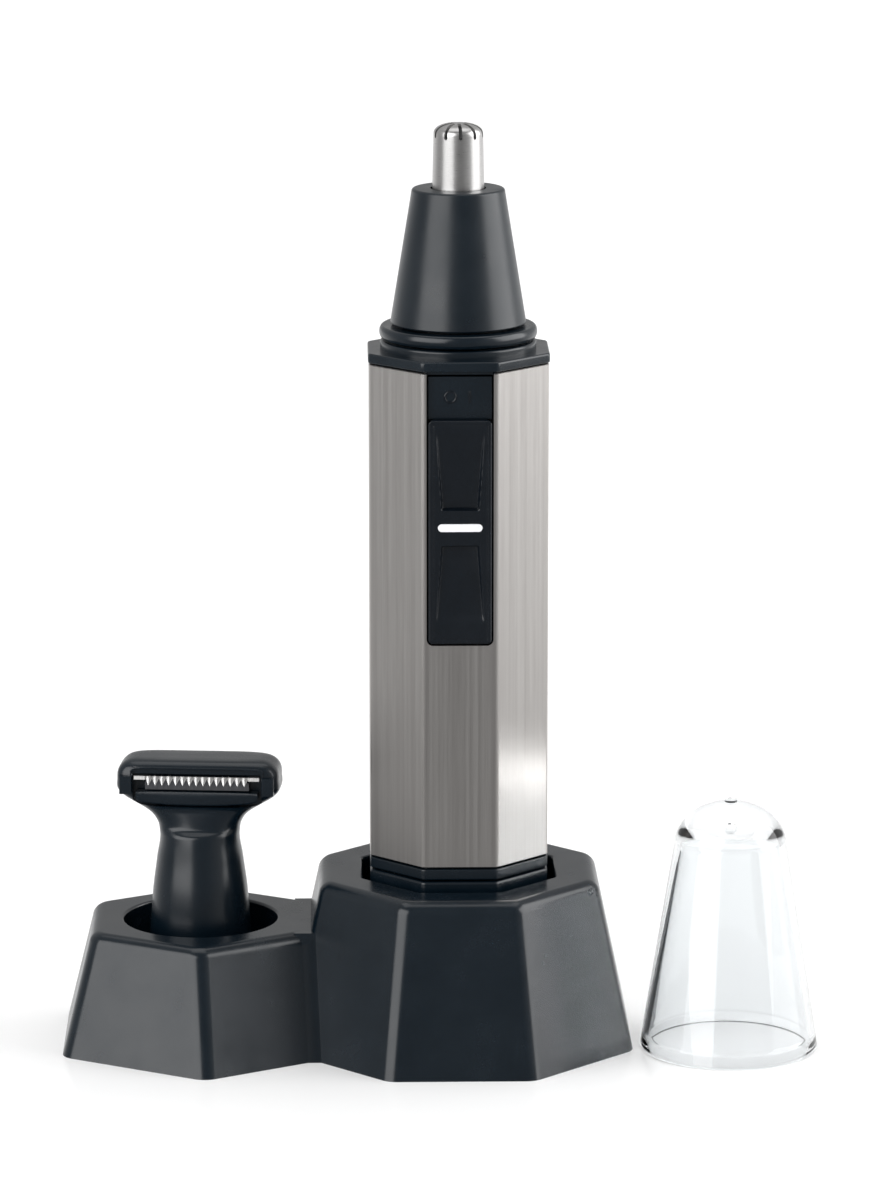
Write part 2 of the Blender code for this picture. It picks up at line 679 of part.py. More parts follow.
def make_motor(steel, black, magnet, brass, rubber, carrier):
    can = piece("motor_can", prism(flatted(MOTOR_RADIUS, MOTOR_FLATS), MOTOR_Z, MOTOR_TOP), steel, carrier)
    fuse(can, disc(MOTOR_BOSS_RADIUS, MOTOR_TOP - 0.4, MOTOR_TOP + MOTOR_BOSS_HEIGHT, 24))
    inner = flatted(MOTOR_RADIUS - MOTOR_WALL, MOTOR_FLATS - 2 * MOTOR_WALL)
    cut(can, prism(inner, MOTOR_Z - 1.0, MOTOR_TOP - MOTOR_WALL))
    cut(can, disc(SHAFT_RADIUS + GAP, MOTOR_Z, MOTOR_TOP + 5.0, 16))

    base = flatted(MOTOR_RADIUS - 0.1, MOTOR_FLATS - 0.2)
    cap = piece("motor_end_cap", prism(base, MOTOR_CAP_Z, MOTOR_CAP_Z + MOTOR_CAP_HEIGHT), black, carrier)
    plug = flatted(MOTOR_RADIUS - MOTOR_WALL - GAP, MOTOR_FLATS - 2 * (MOTOR_WALL + GAP))
    fuse(cap, prism(plug, MOTOR_CAP_Z + 0.5, MOTOR_Z + 1.5))
    cut(cap, disc(SHAFT_RADIUS + GAP, MOTOR_CAP_Z + 0.8, MOTOR_Z + 5.0, 16))

    outer = MOTOR_RADIUS - MOTOR_WALL - GAP
    inner_radius = MOTOR_FLATS / 2 - MOTOR_WALL - 0.2
    for name, middle in (("motor_magnet_left", math.pi), ("motor_magnet_right", 0.0)):
        outline = []
        for radius, order in ((outer, range(9)), (inner_radius, reversed(range(9)))):
            for step in order:
                turn = middle + MAGNET_HALF_ANGLE * (step / 4 - 1)
                outline.append((radius * math.cos(turn), radius * math.sin(turn)))
        piece(name, prism(outline, MOTOR_Z + MAGNET_FOOT, MOTOR_TOP - MOTOR_WALL - 1.0), magnet, carrier)
    for name, side in (("motor_terminal_left", -1), ("motor_terminal_right", 1)):
        x = side * TERMINAL_REACH
        left, right = x - TERMINAL_HALF_WIDTH, x + TERMINAL_HALF_WIDTH
        shape = box(left, right, -0.25, 0.25, TERMINAL_Z, TERMINAL_Z + TERMINAL_HEIGHT)
        piece(name, shape, brass, carrier)
    cushion = washer(MOTOR_BOSS_RADIUS + GAP, MOTOR_FLATS / 2, MOTOR_TOP + GAP, LEDGE_Z - GAP)
    piece("motor_cushion", cushion, rubber, carrier)


def make_armature(copper, black, carrier):
    """Three-pole armature on its shaft, and the coupling half pressed on the shaft."""
    low = MOTOR_Z + MAGNET_FOOT
    high = MOTOR_TOP - MOTOR_WALL - 1.6
    radius = MOTOR_FLATS / 2 - MOTOR_WALL - ARMATURE_CLEARANCE
    armature = piece("motor_armature", disc(radius, low + 3.0, high, 36), copper, carrier)
    for pole in range(POLE_COUNT):
        turn = math.pi / 3 + pole * FULL_TURN / POLE_COUNT
        x, y = radius * math.cos(turn), radius * math.sin(turn)
        cut(armature, disc(POLE_SLOT_RADIUS, low, high + 1, 12, x, y))
    fuse(armature, disc(COMMUTATOR_RADIUS, low, low + 3.5, 16))
    shaft_top = LEDGE_Z + 4.0
    fuse(armature, disc(SHAFT_RADIUS, MOTOR_CAP_Z + 1.1, shaft_top, 12))

    coupler_z = LEDGE_Z + 0.4
    coupler = piece("drive_coupler", disc(COUPLER_RADIUS, coupler_z, COLLAR_TOP - 1.2, 24), black, carrier)
    fuse(coupler, dogs(COLLAR_TOP - 2.0, COLLAR_TOP + 1.4, 1))
    cut(coupler, disc(SHAFT_RADIUS + GAP, coupler_z - 1.0, shaft_top + GAP, 12))


def make_battery_cap(black, steel, carrier):
    cap = piece("battery_cap", prism(octagon(HANDLE_FLATS), HANDLE_BOTTOM, CAP_TOP), black, carrier)
    fuse(cap, disc(SPIGOT_RADIUS, CAP_TOP - 0.5, CAP_TOP + CAP_SPIGOT_HEIGHT))
    cut(cap, disc(HANDLE_FLATS / 2 - CAP_WALL, HANDLE_BOTTOM + CAP_FLOOR, CAP_TOP - 1.5))
    cut(cap, disc(CELL_BORE, CAP_TOP - 2.5, CAP_TOP + CAP_SPIGOT_HEIGHT + 1.0))
    piece("battery_spring_plate", disc(CELL_RADIUS, PLATE_Z, PLATE_Z + CONTACT_THICKNESS, 24), steel, carrier)
    spring_top = SPRING_Z + SPRING_HEIGHT
    helix(SPRING_RADIUS, SPRING_WIRE, SPRING_Z, spring_top, 2.5, "battery_spring", steel, carrier)


# ---------------------------------------------------------------- slide switch


def switch_contact_span():
    """The heights between which the fixed contacts lie."""
    return BUTTON_Z + CONTACT_LOW, BUTTON_Z + CONTACT_HIGH


def well(z):
    """A long round scoop for the fingertip."""
    shape = bmesh.new()
    bmesh.ops.create_uvsphere(shape, u_segments=16, v_segments=10, radius=1.0)
    bmesh.ops.scale(shape, vec=(WELL_HALF_WIDTH, WELL_DEPTH, WELL_HALF_LENGTH), verts=shape.verts)
    bmesh.ops.translate(shape, vec=(0, -SLEEVE_FACE - BUTTON_PROUD, z), verts=shape.verts)
    return shape


def make_switch(black, white, brass, carrier):
    half = WINDOW_WIDTH / 2 - BUTTON_CLEARANCE
    front = SLEEVE_FACE + BUTTON_PROUD
    plate_back = front - BUTTON_PLATE
    stem_top = BUTTON_TOP - BUTTON_TRAVEL - GAP
    plate = box(-half, half, -front, -plate_back, BUTTON_Z, BUTTON_TOP)
    button = piece("switch_button", plate, black, carrier)
    fuse(button, box(-half, half, -plate_back - 0.3, -FLANGE_BACK, BUTTON_Z, stem_top))
    low, high = BUTTON_Z + 0.6, stem_top - 0.5
    fuse(button, box(-FLANGE_REACH, FLANGE_REACH, -FLANGE_FRONT, -FLANGE_BACK + 0.01, low, high))
    middle = BUTTON_Z + BUTTON_LENGTH / 2 + INDEX_RISE
    for side in (-1, 1):
        cut(button, well(middle + side * WELL_OFFSET))
    index_half = INDEX_LENGTH / 2
    groove = front - INDEX_DEPTH
    index_top = INDEX_HEIGHT / 2
    slot = index_half + 0.1
    cut(button, box(-slot, slot, -20, -groove, middle - index_top - 0.1, middle + index_top + 0.1))
    bar = index_half - 0.2
    low, high = middle - index_top + 0.15, middle + index_top - 0.15
    shape = box(-bar, bar, -front, -groove - GAP / 2, low, high)
    piece("button_index_bar", shape, white, carrier)
    low = BUTTON_Z + BRIDGE_LOW
    back = FLANGE_BACK - GAP
    shape = box(-1.5, 1.5, -back, -back + BRIDGE_THICKNESS, low, low + BRIDGE_LENGTH)
    piece("switch_bridge", shape, brass, carrier)


def make_switch_fixed(black, brass, carrier):
    half = WINDOW_WIDTH / 2 - BUTTON_CLEARANCE
    front = SLEEVE_FACE + BUTTON_PROUD - BUTTON_PLATE - GAP - 0.1
    panel = box(-half, half, -front, -POCKET_FLOOR - GAP, BUTTON_TOP, CHASSIS_TOP)
    piece("switch_track_panel", panel, black, carrier)
    low, high = switch_contact_span()
    middle = (low + high) / 2
    for name, z0, z1 in (
        ("switch_contact_lower", low, middle - 1.0),
        ("switch_contact_upper", middle + 1.0, high),
    ):
        piece(name, box(-2.0, 2.0, -CONTACT_FLOOR - 0.6, -CONTACT_FLOOR - GAP, z0, z1), brass, carrier)


# ---------------------------------------------------------------- nose head


def make_nose_head(black, steel, carrier):
    inner_top = HEAD_TOP - HEAD_WALL
    profile = [(HEAD_BASE_RADIUS, HEAD_Z)]
    for step in range(5):
        turn = math.pi / 2 * step / 4
        profile.append(
            (
                HEAD_TOP_RADIUS - HEAD_EDGE * (1 - math.cos(turn)),
                HEAD_TOP - HEAD_EDGE + HEAD_EDGE * math.sin(turn),
            )
        )
    profile += [
        (TUBE_RADIUS + GAP, HEAD_TOP),
        (TUBE_RADIUS + GAP, inner_top),
        (HEAD_TOP_RADIUS - HEAD_WALL, inner_top),
        (HEAD_BASE_RADIUS - HEAD_WALL, HEAD_Z),
    ]
    piece("head_cone", turned(profile, 36), black, carrier)

    bore = COUPLER_RADIUS + INSERT_CLEARANCE
    insert = washer(bore, HEAD_SPIGOT_RADIUS, HEAD_Z - HEAD_SPIGOT_HEIGHT, HEAD_Z + INSERT_TOP)
    piece("head_base_insert", insert, black, carrier)

    flange_top = inner_top - GAP
    profile = [
        (TUBE_RADIUS - TUBE_WALL, flange_top - 1.6),
        (HEAD_TOP_RADIUS - HEAD_WALL - 0.2, flange_top - 1.6),
        (HEAD_TOP_RADIUS - HEAD_WALL - 0.2, flange_top),
        (TUBE_RADIUS, flange_top),
    ]
    for radius, rise, backward in (
        (TUBE_TOP_RADIUS, DOME_HEIGHT, False),
        (TUBE_TOP_RADIUS - TUBE_WALL, DOME_HEIGHT - TUBE_WALL, True),
    ):
        steps = range(7)
        for step in reversed(steps) if backward else steps:
            turn = math.pi / 2 * step / 6
            profile.append((radius * math.cos(turn) if step < 6 else 0.0, TUBE_TOP + rise * math.sin(turn)))
    tube = piece("blade_tube", turned(profile, 30), steel, carrier)
    slots = bmesh.new()
    for number in range(SLOT_COUNT):
        turn = -math.pi / 2 + SLOT_TURN + number * FULL_TURN / SLOT_COUNT
        made = bmesh.ops.create_cube(slots, size=1.0)["verts"]
        reach = TUBE_RADIUS + 1 - SLOT_HUB_RADIUS
        bmesh.ops.scale(slots, vec=(reach, SLOT_WIDTH, DOME_HEIGHT), verts=made)
        bmesh.ops.translate(
            slots,
            vec=(SLOT_HUB_RADIUS + reach / 2, 0, TUBE_TOP + SLOT_RISE + DOME_HEIGHT / 2),
            verts=made,
        )
        bmesh.ops.rotate(slots, cent=(0, 0, 0), matrix=Matrix.Rotation(turn, 3, "Z"), verts=made)
    cut(tube, slots)


def make_rotor(steel, black, carrier):
    low = HEAD_Z - HEAD_SPIGOT_HEIGHT - 1.0
    foot = HEAD_Z - ROTOR_FOOT
    socket_top = HEAD_Z + COUPLER_SOCKET_HEIGHT
    collar = HEAD_TOP - ROTOR_COLLAR_DEPTH
    collar_top = collar + ROTOR_COLLAR_HEIGHT
    top = HEAD_TOP + ROTOR_RISE
    profile = [
        (0, foot),
        (COUPLER_HALF_RADIUS, foot),
        (COUPLER_HALF_RADIUS, socket_top),
        (ROTOR_RADIUS, socket_top),
        (ROTOR_RADIUS, collar),
        (ROTOR_COLLAR_RADIUS, collar),
        (ROTOR_COLLAR_RADIUS, collar_top),
        (ROTOR_RADIUS, collar_top),
        (ROTOR_RADIUS, top),
        (0, top),
    ]
    shaft = piece("rotor_shaft", turned(profile, 24), black, carrier)
    fuse(shaft, dogs(low, HEAD_Z + 1.0, -1))

    span = TUBE_TOP_RADIUS - TUBE_WALL - GAP
    half = WING_THICKNESS / 2
    blade = piece("rotor_blade", disc(HUB_RADIUS, top + GAP, TUBE_TOP + 0.4, 16), steel, carrier)
    fuse(blade, box(-span, span, -half, half, top + GAP + 0.2, TUBE_TOP + 0.3))
    fuse(blade, box(-half, half, -span, span, top + GAP + 0.1, TUBE_TOP + 0.2))
    spring = (ROTOR_RADIUS + ROTOR_COLLAR_RADIUS) / 2
    helix(spring, ROTOR_WIRE, socket_top + GAP, collar - GAP, 6, "rotor_spring", steel, carrier)


# ---------------------------------------------------------------- spare T-blade head


def oval(half_width, half_depth, z, power, count=32):
    """A superellipse: a circle at power 2, and squarer above it."""
    ring = []
    for index in range(count):
        turn = FULL_TURN * index / count
        along, across = math.cos(turn), math.sin(turn)
        ring.append(
            (
                half_width * math.copysign(abs(along) ** (2 / power), along),
                half_depth * math.copysign(abs(across) ** (2 / power), across),
                z,
            )
        )
    return ring


def spare_rings(shrink=0.0):
    """The neck from the base flange up to the T-bar: height above the base, half width, half depth, power."""
    base = HEAD_BASE_RADIUS
    sections = [
        (0.0, base, base, 2.0),
        (1.6, base, base, 2.0),
        (3.2, 9.5, 9.5, 2.0),
        (5.6, 8.7, 8.7, 2.0),
        (9.6, 8.14, 8.14, 2.0),
        (17.9, 7.43, 7.43, 2.0),
        (22.4, 6.83, 6.7, 2.0),
        (26.5, 6.33, 6.1, 2.1),
        (28.4, 6.75, 5.7, 2.2),
        (30.0, 8.0, 5.4, 2.4),
        (31.3, 10.0, 5.1, 2.7),
        (32.4, BAR_HALF_WIDTH - 0.7, 4.8, 3.2),
        (33.8, BAR_HALF_WIDTH, BAR_FRONT + 0.3, 4.0),
        (37.4, BAR_HALF_WIDTH, BAR_FRONT + 0.1, 5.0),
        (38.2, BAR_HALF_WIDTH - 0.4, BAR_FRONT - 0.3, 5.0),
        (38.6, BAR_HALF_WIDTH - 1.6, BAR_FRONT - 1.2, 5.0),
    ]
    return [
        oval(half_width - shrink, half_depth - shrink, spare_base() + rise, power)
        for rise, half_width, half_depth, power in sections
    ]


def spare_base():
    """The underside of the spare head's base flange, above its spigot."""
    return SPARE_BOTTOM + 3.1


def comb_outline(half_width, z0, z1, notch):
    """A strip's outline in the XZ plane with teeth along its top edge."""
    pitch = TOOTH_SPAN / TOOTH_COUNT
    outline = [(-half_width, z0), (half_width, z0), (half_width, z1)]
    for number in range(TOOTH_COUNT):
        x = TOOTH_SPAN / 2 - pitch * number
        outline += [
            (x - 0.15 * pitch, z1),
            (x - 0.35 * pitch, z1 - notch),
            (x - 0.65 * pitch, z1 - notch),
            (x - 0.85 * pitch, z1),
        ]
    outline.append((-half_width, z1))
    return outline


def slab(outline, y0, y1):
    """An outline in the XZ plane, extruded along Y."""
    return loft([[(x, y, z) for x, z in outline] for y in (y0, y1)])


def make_spare_head(black, steel, carrier):
    base = spare_base()
    shell = piece("spare_head_shell", loft(spare_rings()), black, carrier)
    neck = [
        (0, base - 1.0),
        (HEAD_BASE_RADIUS - SPARE_WALL, base - 1.0),
        (HEAD_BASE_RADIUS - SPARE_WALL, base + 1.2),
        (8.7 - SPARE_WALL, base + 5.6),
        (7.43 - SPARE_WALL, base + 17.9),
        (6.1 - SPARE_WALL, base + 26.5),
        (6.1 - SPARE_WALL, base + 27.5),
        (3.9, base + 28.4),
        (3.9, base + 30.0),
        (0, base + 30.0),
    ]
    cut(shell, turned(neck, 32))
    cut(shell, box(-6.5, 6.5, -2.6, 2.6, base + 29.0, base + 35.7))
    cut(shell, box(-COMB_HALF_WIDTH - GAP, COMB_HALF_WIDTH + GAP, -8, -2.3, base + 31.2, base + 36.8))

    insert = washer(COUPLER_RADIUS + INSERT_CLEARANCE, HEAD_SPIGOT_RADIUS, SPARE_BOTTOM, base + INSERT_TOP)
    piece("spare_base_insert", insert, black, carrier)

    comb_front = BAR_FRONT + 0.1
    comb = comb_outline(COMB_HALF_WIDTH, base + 34.3, base + 36.2, 0.9)
    piece("trim_comb", slab(comb, -comb_front, -comb_front + COMB_THICKNESS), steel, carrier)

    jaw = []
    for step in range(9):
        turn = math.pi + math.pi * step / 8
        jaw.append((9.65 * math.cos(turn), base + 32.6 + 0.9 * math.sin(turn)))
    jaw += [(9.65, base + 33.6), (-9.65, base + 33.6)]
    piece("trim_jaw_bar", slab(jaw, -BAR_FRONT, -2.6), black, carrier)


def make_trim_blade(steel, black, carrier):
    base = spare_base()
    front = BAR_FRONT + 0.1 - COMB_THICKNESS - GAP
    blade = comb_outline(BLADE_HALF_WIDTH, base + 33.9, base + 36.0, 0.9)
    piece("trim_blade", slab(blade, -front, -front + 0.5), steel, carrier)
    back = front - 0.5 - GAP
    carriage = piece("trim_carrier", box(-5.0, 5.0, -back, 2.2, base + 33.9, base + 35.4), black, carrier)
    fuse(carriage, box(-5.0, 5.0, -2.2, 2.2, base + 31.0, base + 34.2))
    slot = PIN_RADIUS + ECCENTRICITY + 0.2
    cut(carriage, box(-slot - BLADE_TRAVEL, slot + BLADE_TRAVEL, -slot, slot, base + 30.0, base + 33.2))


def make_trim_shaft(steel, carrier):
    base = spare_base()
    profile = [
        (0, base - 0.2),
        (COUPLER_HALF_RADIUS, base - 0.2),
        (COUPLER_HALF_RADIUS, base + 4.5),
        (1.8, base + 4.5),
        (1.8, base + 27.0),
        (3.0, base + 27.0),
        (3.0, base + 29.7),
        (0, base + 29.7),
    ]
    shaft = piece("trim_shaft", turned(profile, 24), steel, carrier)
    fuse(shaft, dogs(SPARE_BOTTOM + 0.2, base + 1.0, -1))
    fuse(shaft, disc(PIN_RADIUS, base + 29.4, base + 32.9, 12, ECCENTRICITY))


# ---------------------------------------------------------------- clear cap


def make_clear_cap(clear, carrier):
    def wall(base_radius, top_radius, shoulder, dome, steps):
        points = [(base_radius, 0.0)]
        for step in range(steps + 1):
            turn = math.pi / 2 * step / steps
            points.append((top_radius * math.cos(turn), shoulder + dome * math.sin(turn)))
        return points[:-1]

    outer = wall(CLEAR_BASE_RADIUS, CLEAR_TOP_RADIUS, CLEAR_SHOULDER, CLEAR_DOME, 6)
    crown = CLEAR_SHOULDER + CLEAR_DOME
    nub_top = crown + CLEAR_NUB_HEIGHT
    nub = [(CLEAR_NUB_RADIUS, crown), (CLEAR_NUB_RADIUS, nub_top), (0, nub_top)]
    inner = wall(
        CLEAR_BASE_RADIUS - CLEAR_WALL,
        CLEAR_TOP_RADIUS - CLEAR_WALL,
        CLEAR_SHOULDER,
        CLEAR_DOME - CLEAR_CROWN,
        6,
    )
    inside = [(0, crown - CLEAR_CROWN)] + list(reversed(inner))
    piece("clear_cap", turned(outer + nub + inside), clear, carrier)


# ---------------------------------------------------------------- assembly


def build():
    for old in list(bpy.data.objects):
        bpy.data.objects.remove(old, do_unlink=True)

    black = finish("gloss_black_abs", (0.012, 0.015, 0.020), 0.12)
    inner_black = finish("matt_black_abs", (0.020, 0.020, 0.022), 0.45)
    brushed = finish("brushed_stainless", (0.45, 0.44, 0.42), 0.32, 1.0)
    bright = finish("bright_steel", (0.60, 0.60, 0.60), 0.18, 1.0)
    brass = finish("brass_contact", (0.60, 0.44, 0.18), 0.30, 1.0)
    copper = finish("copper_winding", (0.55, 0.24, 0.12), 0.35, 1.0)
    magnet = finish("ferrite_magnet", (0.05, 0.05, 0.055), 0.60)
    rubber = finish("rubber_cushion", (0.02, 0.02, 0.02), 0.80)
    label = finish("cell_jacket", (0.10, 0.20, 0.32), 0.35)
    white = finish("white_inlay", (0.85, 0.85, 0.86), 0.30)
    clear = finish("clear_styrene", (0.95, 0.96, 0.97), 0.05, 0.0, 0.25)

    stand = frame("stand")
    handle = frame("handle", stand)
    button = frame("switch", handle)
    bottom = frame("bottom_cap", handle)
    motor = frame("motor", handle)
    head = frame("nose_head", handle)
    rotor = frame("rotor", head)
    spare = frame("spare_head", stand, SIDE_X, 0.0, 0.0, SPARE_TURN)
    shaft = frame("spare_shaft", spare)
    blade = frame("spare_blade", spare)
    cover = frame("cover", stand, CLEAR_X, CLEAR_Y)

    make_stand(black, bright, stand)
    make_sleeve(brushed, handle)
    make_bottom_ring(black, handle)
    make_top(black, handle)
    make_chassis(inner_black, bright, brass, handle)
    make_cell(label, bright, brass, handle)
    make_motor(bright, inner_black, magnet, brass, rubber, handle)
    make_switch_fixed(black, brass, handle)
    make_battery_cap(black, bright, bottom)
    make_switch(black, white, brass, button)
    make_armature(copper, inner_black, motor)
    make_nose_head(black, bright, head)
    make_rotor(bright, inner_black, rotor)
    make_spare_head(black, bright, spare)
    make_trim_blade(bright, inner_black, blade)
    make_trim_shaft(bright, shaft)
    make_clear_cap(clear, cover)


build()
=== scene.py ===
"""Looks of the nose hair trimmer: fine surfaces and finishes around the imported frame."""

import bmesh
import bpy
import numpy as np
from mathutils import Matrix, Vector


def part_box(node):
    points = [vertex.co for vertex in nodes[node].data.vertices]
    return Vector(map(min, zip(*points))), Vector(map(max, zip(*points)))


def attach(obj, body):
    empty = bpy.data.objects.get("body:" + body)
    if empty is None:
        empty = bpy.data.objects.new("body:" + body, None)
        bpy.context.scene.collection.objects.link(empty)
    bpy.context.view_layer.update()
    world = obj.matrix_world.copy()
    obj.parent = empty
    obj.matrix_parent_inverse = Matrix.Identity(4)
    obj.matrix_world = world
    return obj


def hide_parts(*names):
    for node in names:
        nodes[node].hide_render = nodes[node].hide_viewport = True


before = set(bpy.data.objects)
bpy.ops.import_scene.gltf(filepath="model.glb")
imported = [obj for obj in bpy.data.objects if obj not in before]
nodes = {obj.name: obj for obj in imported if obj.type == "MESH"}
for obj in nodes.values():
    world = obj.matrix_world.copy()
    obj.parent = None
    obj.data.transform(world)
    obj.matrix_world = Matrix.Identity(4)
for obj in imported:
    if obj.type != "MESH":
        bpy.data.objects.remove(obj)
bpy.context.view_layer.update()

# ---- Camera ----
# A long lens from a little above the handle's middle, turned a degree to the left.
camera_aim = Vector((-0.00159, 0.0, 0.07072))
camera_distance = 0.910
camera_down = np.radians(12.45)
camera_turn = np.radians(-1.2)
camera_data = bpy.data.cameras.new("camera")
camera_data.lens = 173.2
camera_data.sensor_width = 36.0
camera = bpy.data.objects.new("camera", camera_data)
bpy.context.scene.collection.objects.link(camera)
away = Vector(
    (
        np.sin(camera_turn) * np.cos(camera_down),
        -np.cos(camera_turn) * np.cos(camera_down),
        np.sin(camera_down),
    )
)
camera.location = camera_aim + camera_distance * away
camera.rotation_euler = (-away).to_track_quat("-Z", "Y").to_euler()
bpy.context.scene.camera = camera

# ---- Stand shell ----
# One hollow injection moulding in gloss ABS: an octagonal lobe for the handle and a lower hexagonal
# lobe for the spare head, with the sockets moulded in and round edges where the mould halves meet.
MM = 0.001
OCTAGON_FIRST = np.pi / 8
HEXAGON_FIRST = -np.pi / 2
STAND_WALL = 2.0 * MM
STAND_CORNER = 3.2 * MM
STAND_EDGE = 1.8 * MM
LIP = 0.45 * MM


def linear(colour):
    """An sRGB hex colour as linear light: each channel is divided by 12.92 near black, or raised to 2.4."""
    channels = np.array([int(colour[i : i + 2], 16) for i in (1, 3, 5)]) / 255
    light = np.where(channels <= 0.04045, channels / 12.92, ((channels + 0.055) / 1.055) ** 2.4)
    return (*light.tolist(), 1.0)


def add(tree, kind, links=None, **settings):
    """Add a shader node: settings are its own, and links fill its sockets with a value or another socket."""
    made = tree.nodes.new("ShaderNode" + kind)
    for name, value in settings.items():
        setattr(made, name, value)
    for name, value in (links or {}).items():
        if isinstance(value, bpy.types.NodeSocket):
            tree.links.new(value, made.inputs[name])
        else:
            made.inputs[name].default_value = value
    return made


def blank_material(name):
    """A new material's tree, its Principled shader and its object coordinates."""
    material = bpy.data.materials.new(name)
    material.use_nodes = True
    tree = material.node_tree
    shader = tree.nodes["Principled BSDF"]
    place = add(tree, "TexCoord").outputs["Object"]
    return material, tree, shader, place


def gloss_abs(name, colour, roughness, grain):
    """Gloss ABS off a polished mould: nearly even, with a faint orange peel and a little wear haze."""
    material, tree, shader, place = blank_material(name)
    peel = add(tree, "TexNoise", {"Vector": place, "Scale": grain, "Detail": 2.0})
    haze = add(tree, "TexNoise", {"Vector": place, "Scale": 140.0, "Detail": 5.0, "Roughness": 0.6})
    rough = add(
        tree,
        "MapRange",
        {
            "Value": haze.outputs["Fac"],
            "From Min": 0.3,
            "From Max": 0.7,
            "To Min": roughness * 0.85,
            "To Max": roughness * 1.25,
        },
    )
    bump = add(tree, "Bump", {"Height": peel.outputs["Fac"], "Strength": 0.04, "Distance": 0.00002})
    tone = add(tree, "ValToRGB", {"Fac": haze.outputs["Fac"]})
    tone.color_ramp.elements[0].position = 0.25
    tone.color_ramp.elements[0].color = [c * 0.85 for c in linear(colour)[:3]] + [1.0]
    tone.color_ramp.elements[1].position = 0.75
    tone.color_ramp.elements[1].color = [c * 1.15 for c in linear(colour)[:3]] + [1.0]
    tree.links.new(tone.outputs["Color"], shader.inputs["Base Color"])
    tree.links.new(rough.outputs["Result"], shader.inputs["Roughness"])
    tree.links.new(bump.outputs["Normal"], shader.inputs["Normal"])
    shader.inputs["IOR"].default_value = 1.54
    return material


black_abs = gloss_abs("gloss_black_abs", "#08151e", 0.23, 2200.0)


def grid_object(name, points, material, around=True, along=False, sharp=35.0):
    """A surface from a grid of points, row by row. Open ends are capped, and repeated points are merged."""
    rows, count = points.shape[:2]
    row = np.arange(rows if along else rows - 1)[:, None]
    column = np.arange(count if around else count - 1)[None, :]
    next_row = (row + 1) % rows
    next_column = (column + 1) % count
    corners = (
        row * count + column,
        row * count + next_column,
        next_row * count + next_column,
        next_row * count + column,
    )
    faces = np.stack(np.broadcast_arrays(*corners), -1).reshape(-1, 4).tolist()
    if not along:
        faces.append(list(range(count)))
        faces.append(list(range((rows - 1) * count, rows * count)))
    mesh = bpy.data.meshes.new(name)
    mesh.from_pydata(points.reshape(-1, 3).tolist(), [], faces)
    return shaded(name, mesh, material, sharp)


def shaded(name, mesh, material, sharp=35.0):
    """Merge repeated points, drop edges that bound no face, turn the faces outwards, and shade by angle."""
    shape = bmesh.new()
    shape.from_mesh(mesh)
    bmesh.ops.remove_doubles(shape, verts=shape.verts, dist=1e-7)
    bmesh.ops.dissolve_degenerate(shape, edges=shape.edges, dist=1e-8)
    stray = [edge for edge in shape.edges if not edge.link_faces]
    bmesh.ops.delete(shape, geom=stray, context="EDGES")
    bmesh.ops.recalc_face_normals(shape, faces=shape.faces)
    shape.to_mesh(mesh)
    shape.free()
    mesh.shade_smooth()
    mesh.set_sharp_from_angle(angle=np.radians(sharp))
    mesh.materials.clear()
    mesh.materials.append(material)
    made = bpy.data.objects.new(name, mesh)
    bpy.context.scene.collection.objects.link(made)
    return made


def carve(piece, tool, operation="DIFFERENCE"):
    """Cut, join or keep the common part of two closed pieces, and drop the tool."""
    modifier = piece.modifiers.new("carve", "BOOLEAN")
    modifier.object = tool
    modifier.operation = operation
    graph = bpy.context.evaluated_depsgraph_get()
    carved = bpy.data.meshes.new_from_object(piece.evaluated_get(graph))
    piece.modifiers.remove(modifier)
    piece.data = carved
    bpy.data.objects.remove(tool)


def place_piece(piece, body, slot_name, *replaced, sharp=35.0):
    """Weight the normals by face, so flat faces stay flat beside round edges, and give it to the frame."""
    piece.data.set_sharp_from_angle(angle=np.radians(sharp))
    weighted = piece.modifiers.new("normals", "WEIGHTED_NORMAL")
    weighted.keep_sharp = True
    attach(piece, body)
    if replaced:
        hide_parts(*replaced)


def polygon_rings(sides, first, flats, corner, z, x=0.0, steps=8):
    """Rings of a regular polygon with round corners. Each corner is an arc about a centre on the
    corner's bearing, at (flats / 2 - corner) / cos(half angle) from the middle."""
    flats, corner, z, x = (np.atleast_1d(np.asarray(value, float))[:, None] for value in (flats, corner, z, x))
    half = np.pi / sides
    aim = np.repeat(first + 2 * half * np.arange(sides), steps + 1)[None, :]
    turn = aim + np.tile(np.linspace(-half, half, steps + 1), sides)[None, :]
    reach = (flats / 2 - corner) / np.cos(half)
    across = x + reach * np.cos(aim) + corner * np.cos(turn)
    deep = reach * np.sin(aim) + corner * np.sin(turn)
    return np.stack(np.broadcast_arrays(across, deep, z), -1)


def lobe_points(sides, first, bottom, top, height, edge, inset=0.0, x_bottom=0.0, x_top=0.0, low=0.0):
    """A tapered lobe: sizes run straight from bottom to top, and the last bit follows a quarter circle in."""
    turn = np.linspace(0, np.pi / 2, 11) if edge else np.array([0.0])
    z = np.concatenate([[low], height - inset - edge + edge * np.sin(turn)])
    pull = np.concatenate([[0.0], edge * (1 - np.cos(turn))])
    share = z / height
    flats = bottom + (top - bottom) * share - 2 * inset - 2 * pull
    corner = np.maximum(STAND_CORNER - inset - pull, 0.3 * MM)
    x = x_bottom + (x_top - x_bottom) * share
    return polygon_rings(sides, first, flats, corner, z, x)


stand_low, stand_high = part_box("stand_shell")
main_height = stand_high.z
main_bottom = stand_high.x * 2
main_top = main_bottom - 11.4 * MM
side_height = 19.3 * MM
side_bottom = 45.5 * MM
side_top = 34.1 * MM
side_x_top = -41.0 * MM
side_x_bottom = -40.0 * MM
socket_flats = 30.45 * MM
socket_floor = 11.7 * MM
hole_radius = 12.19 * MM
cup_floor = 3.6 * MM


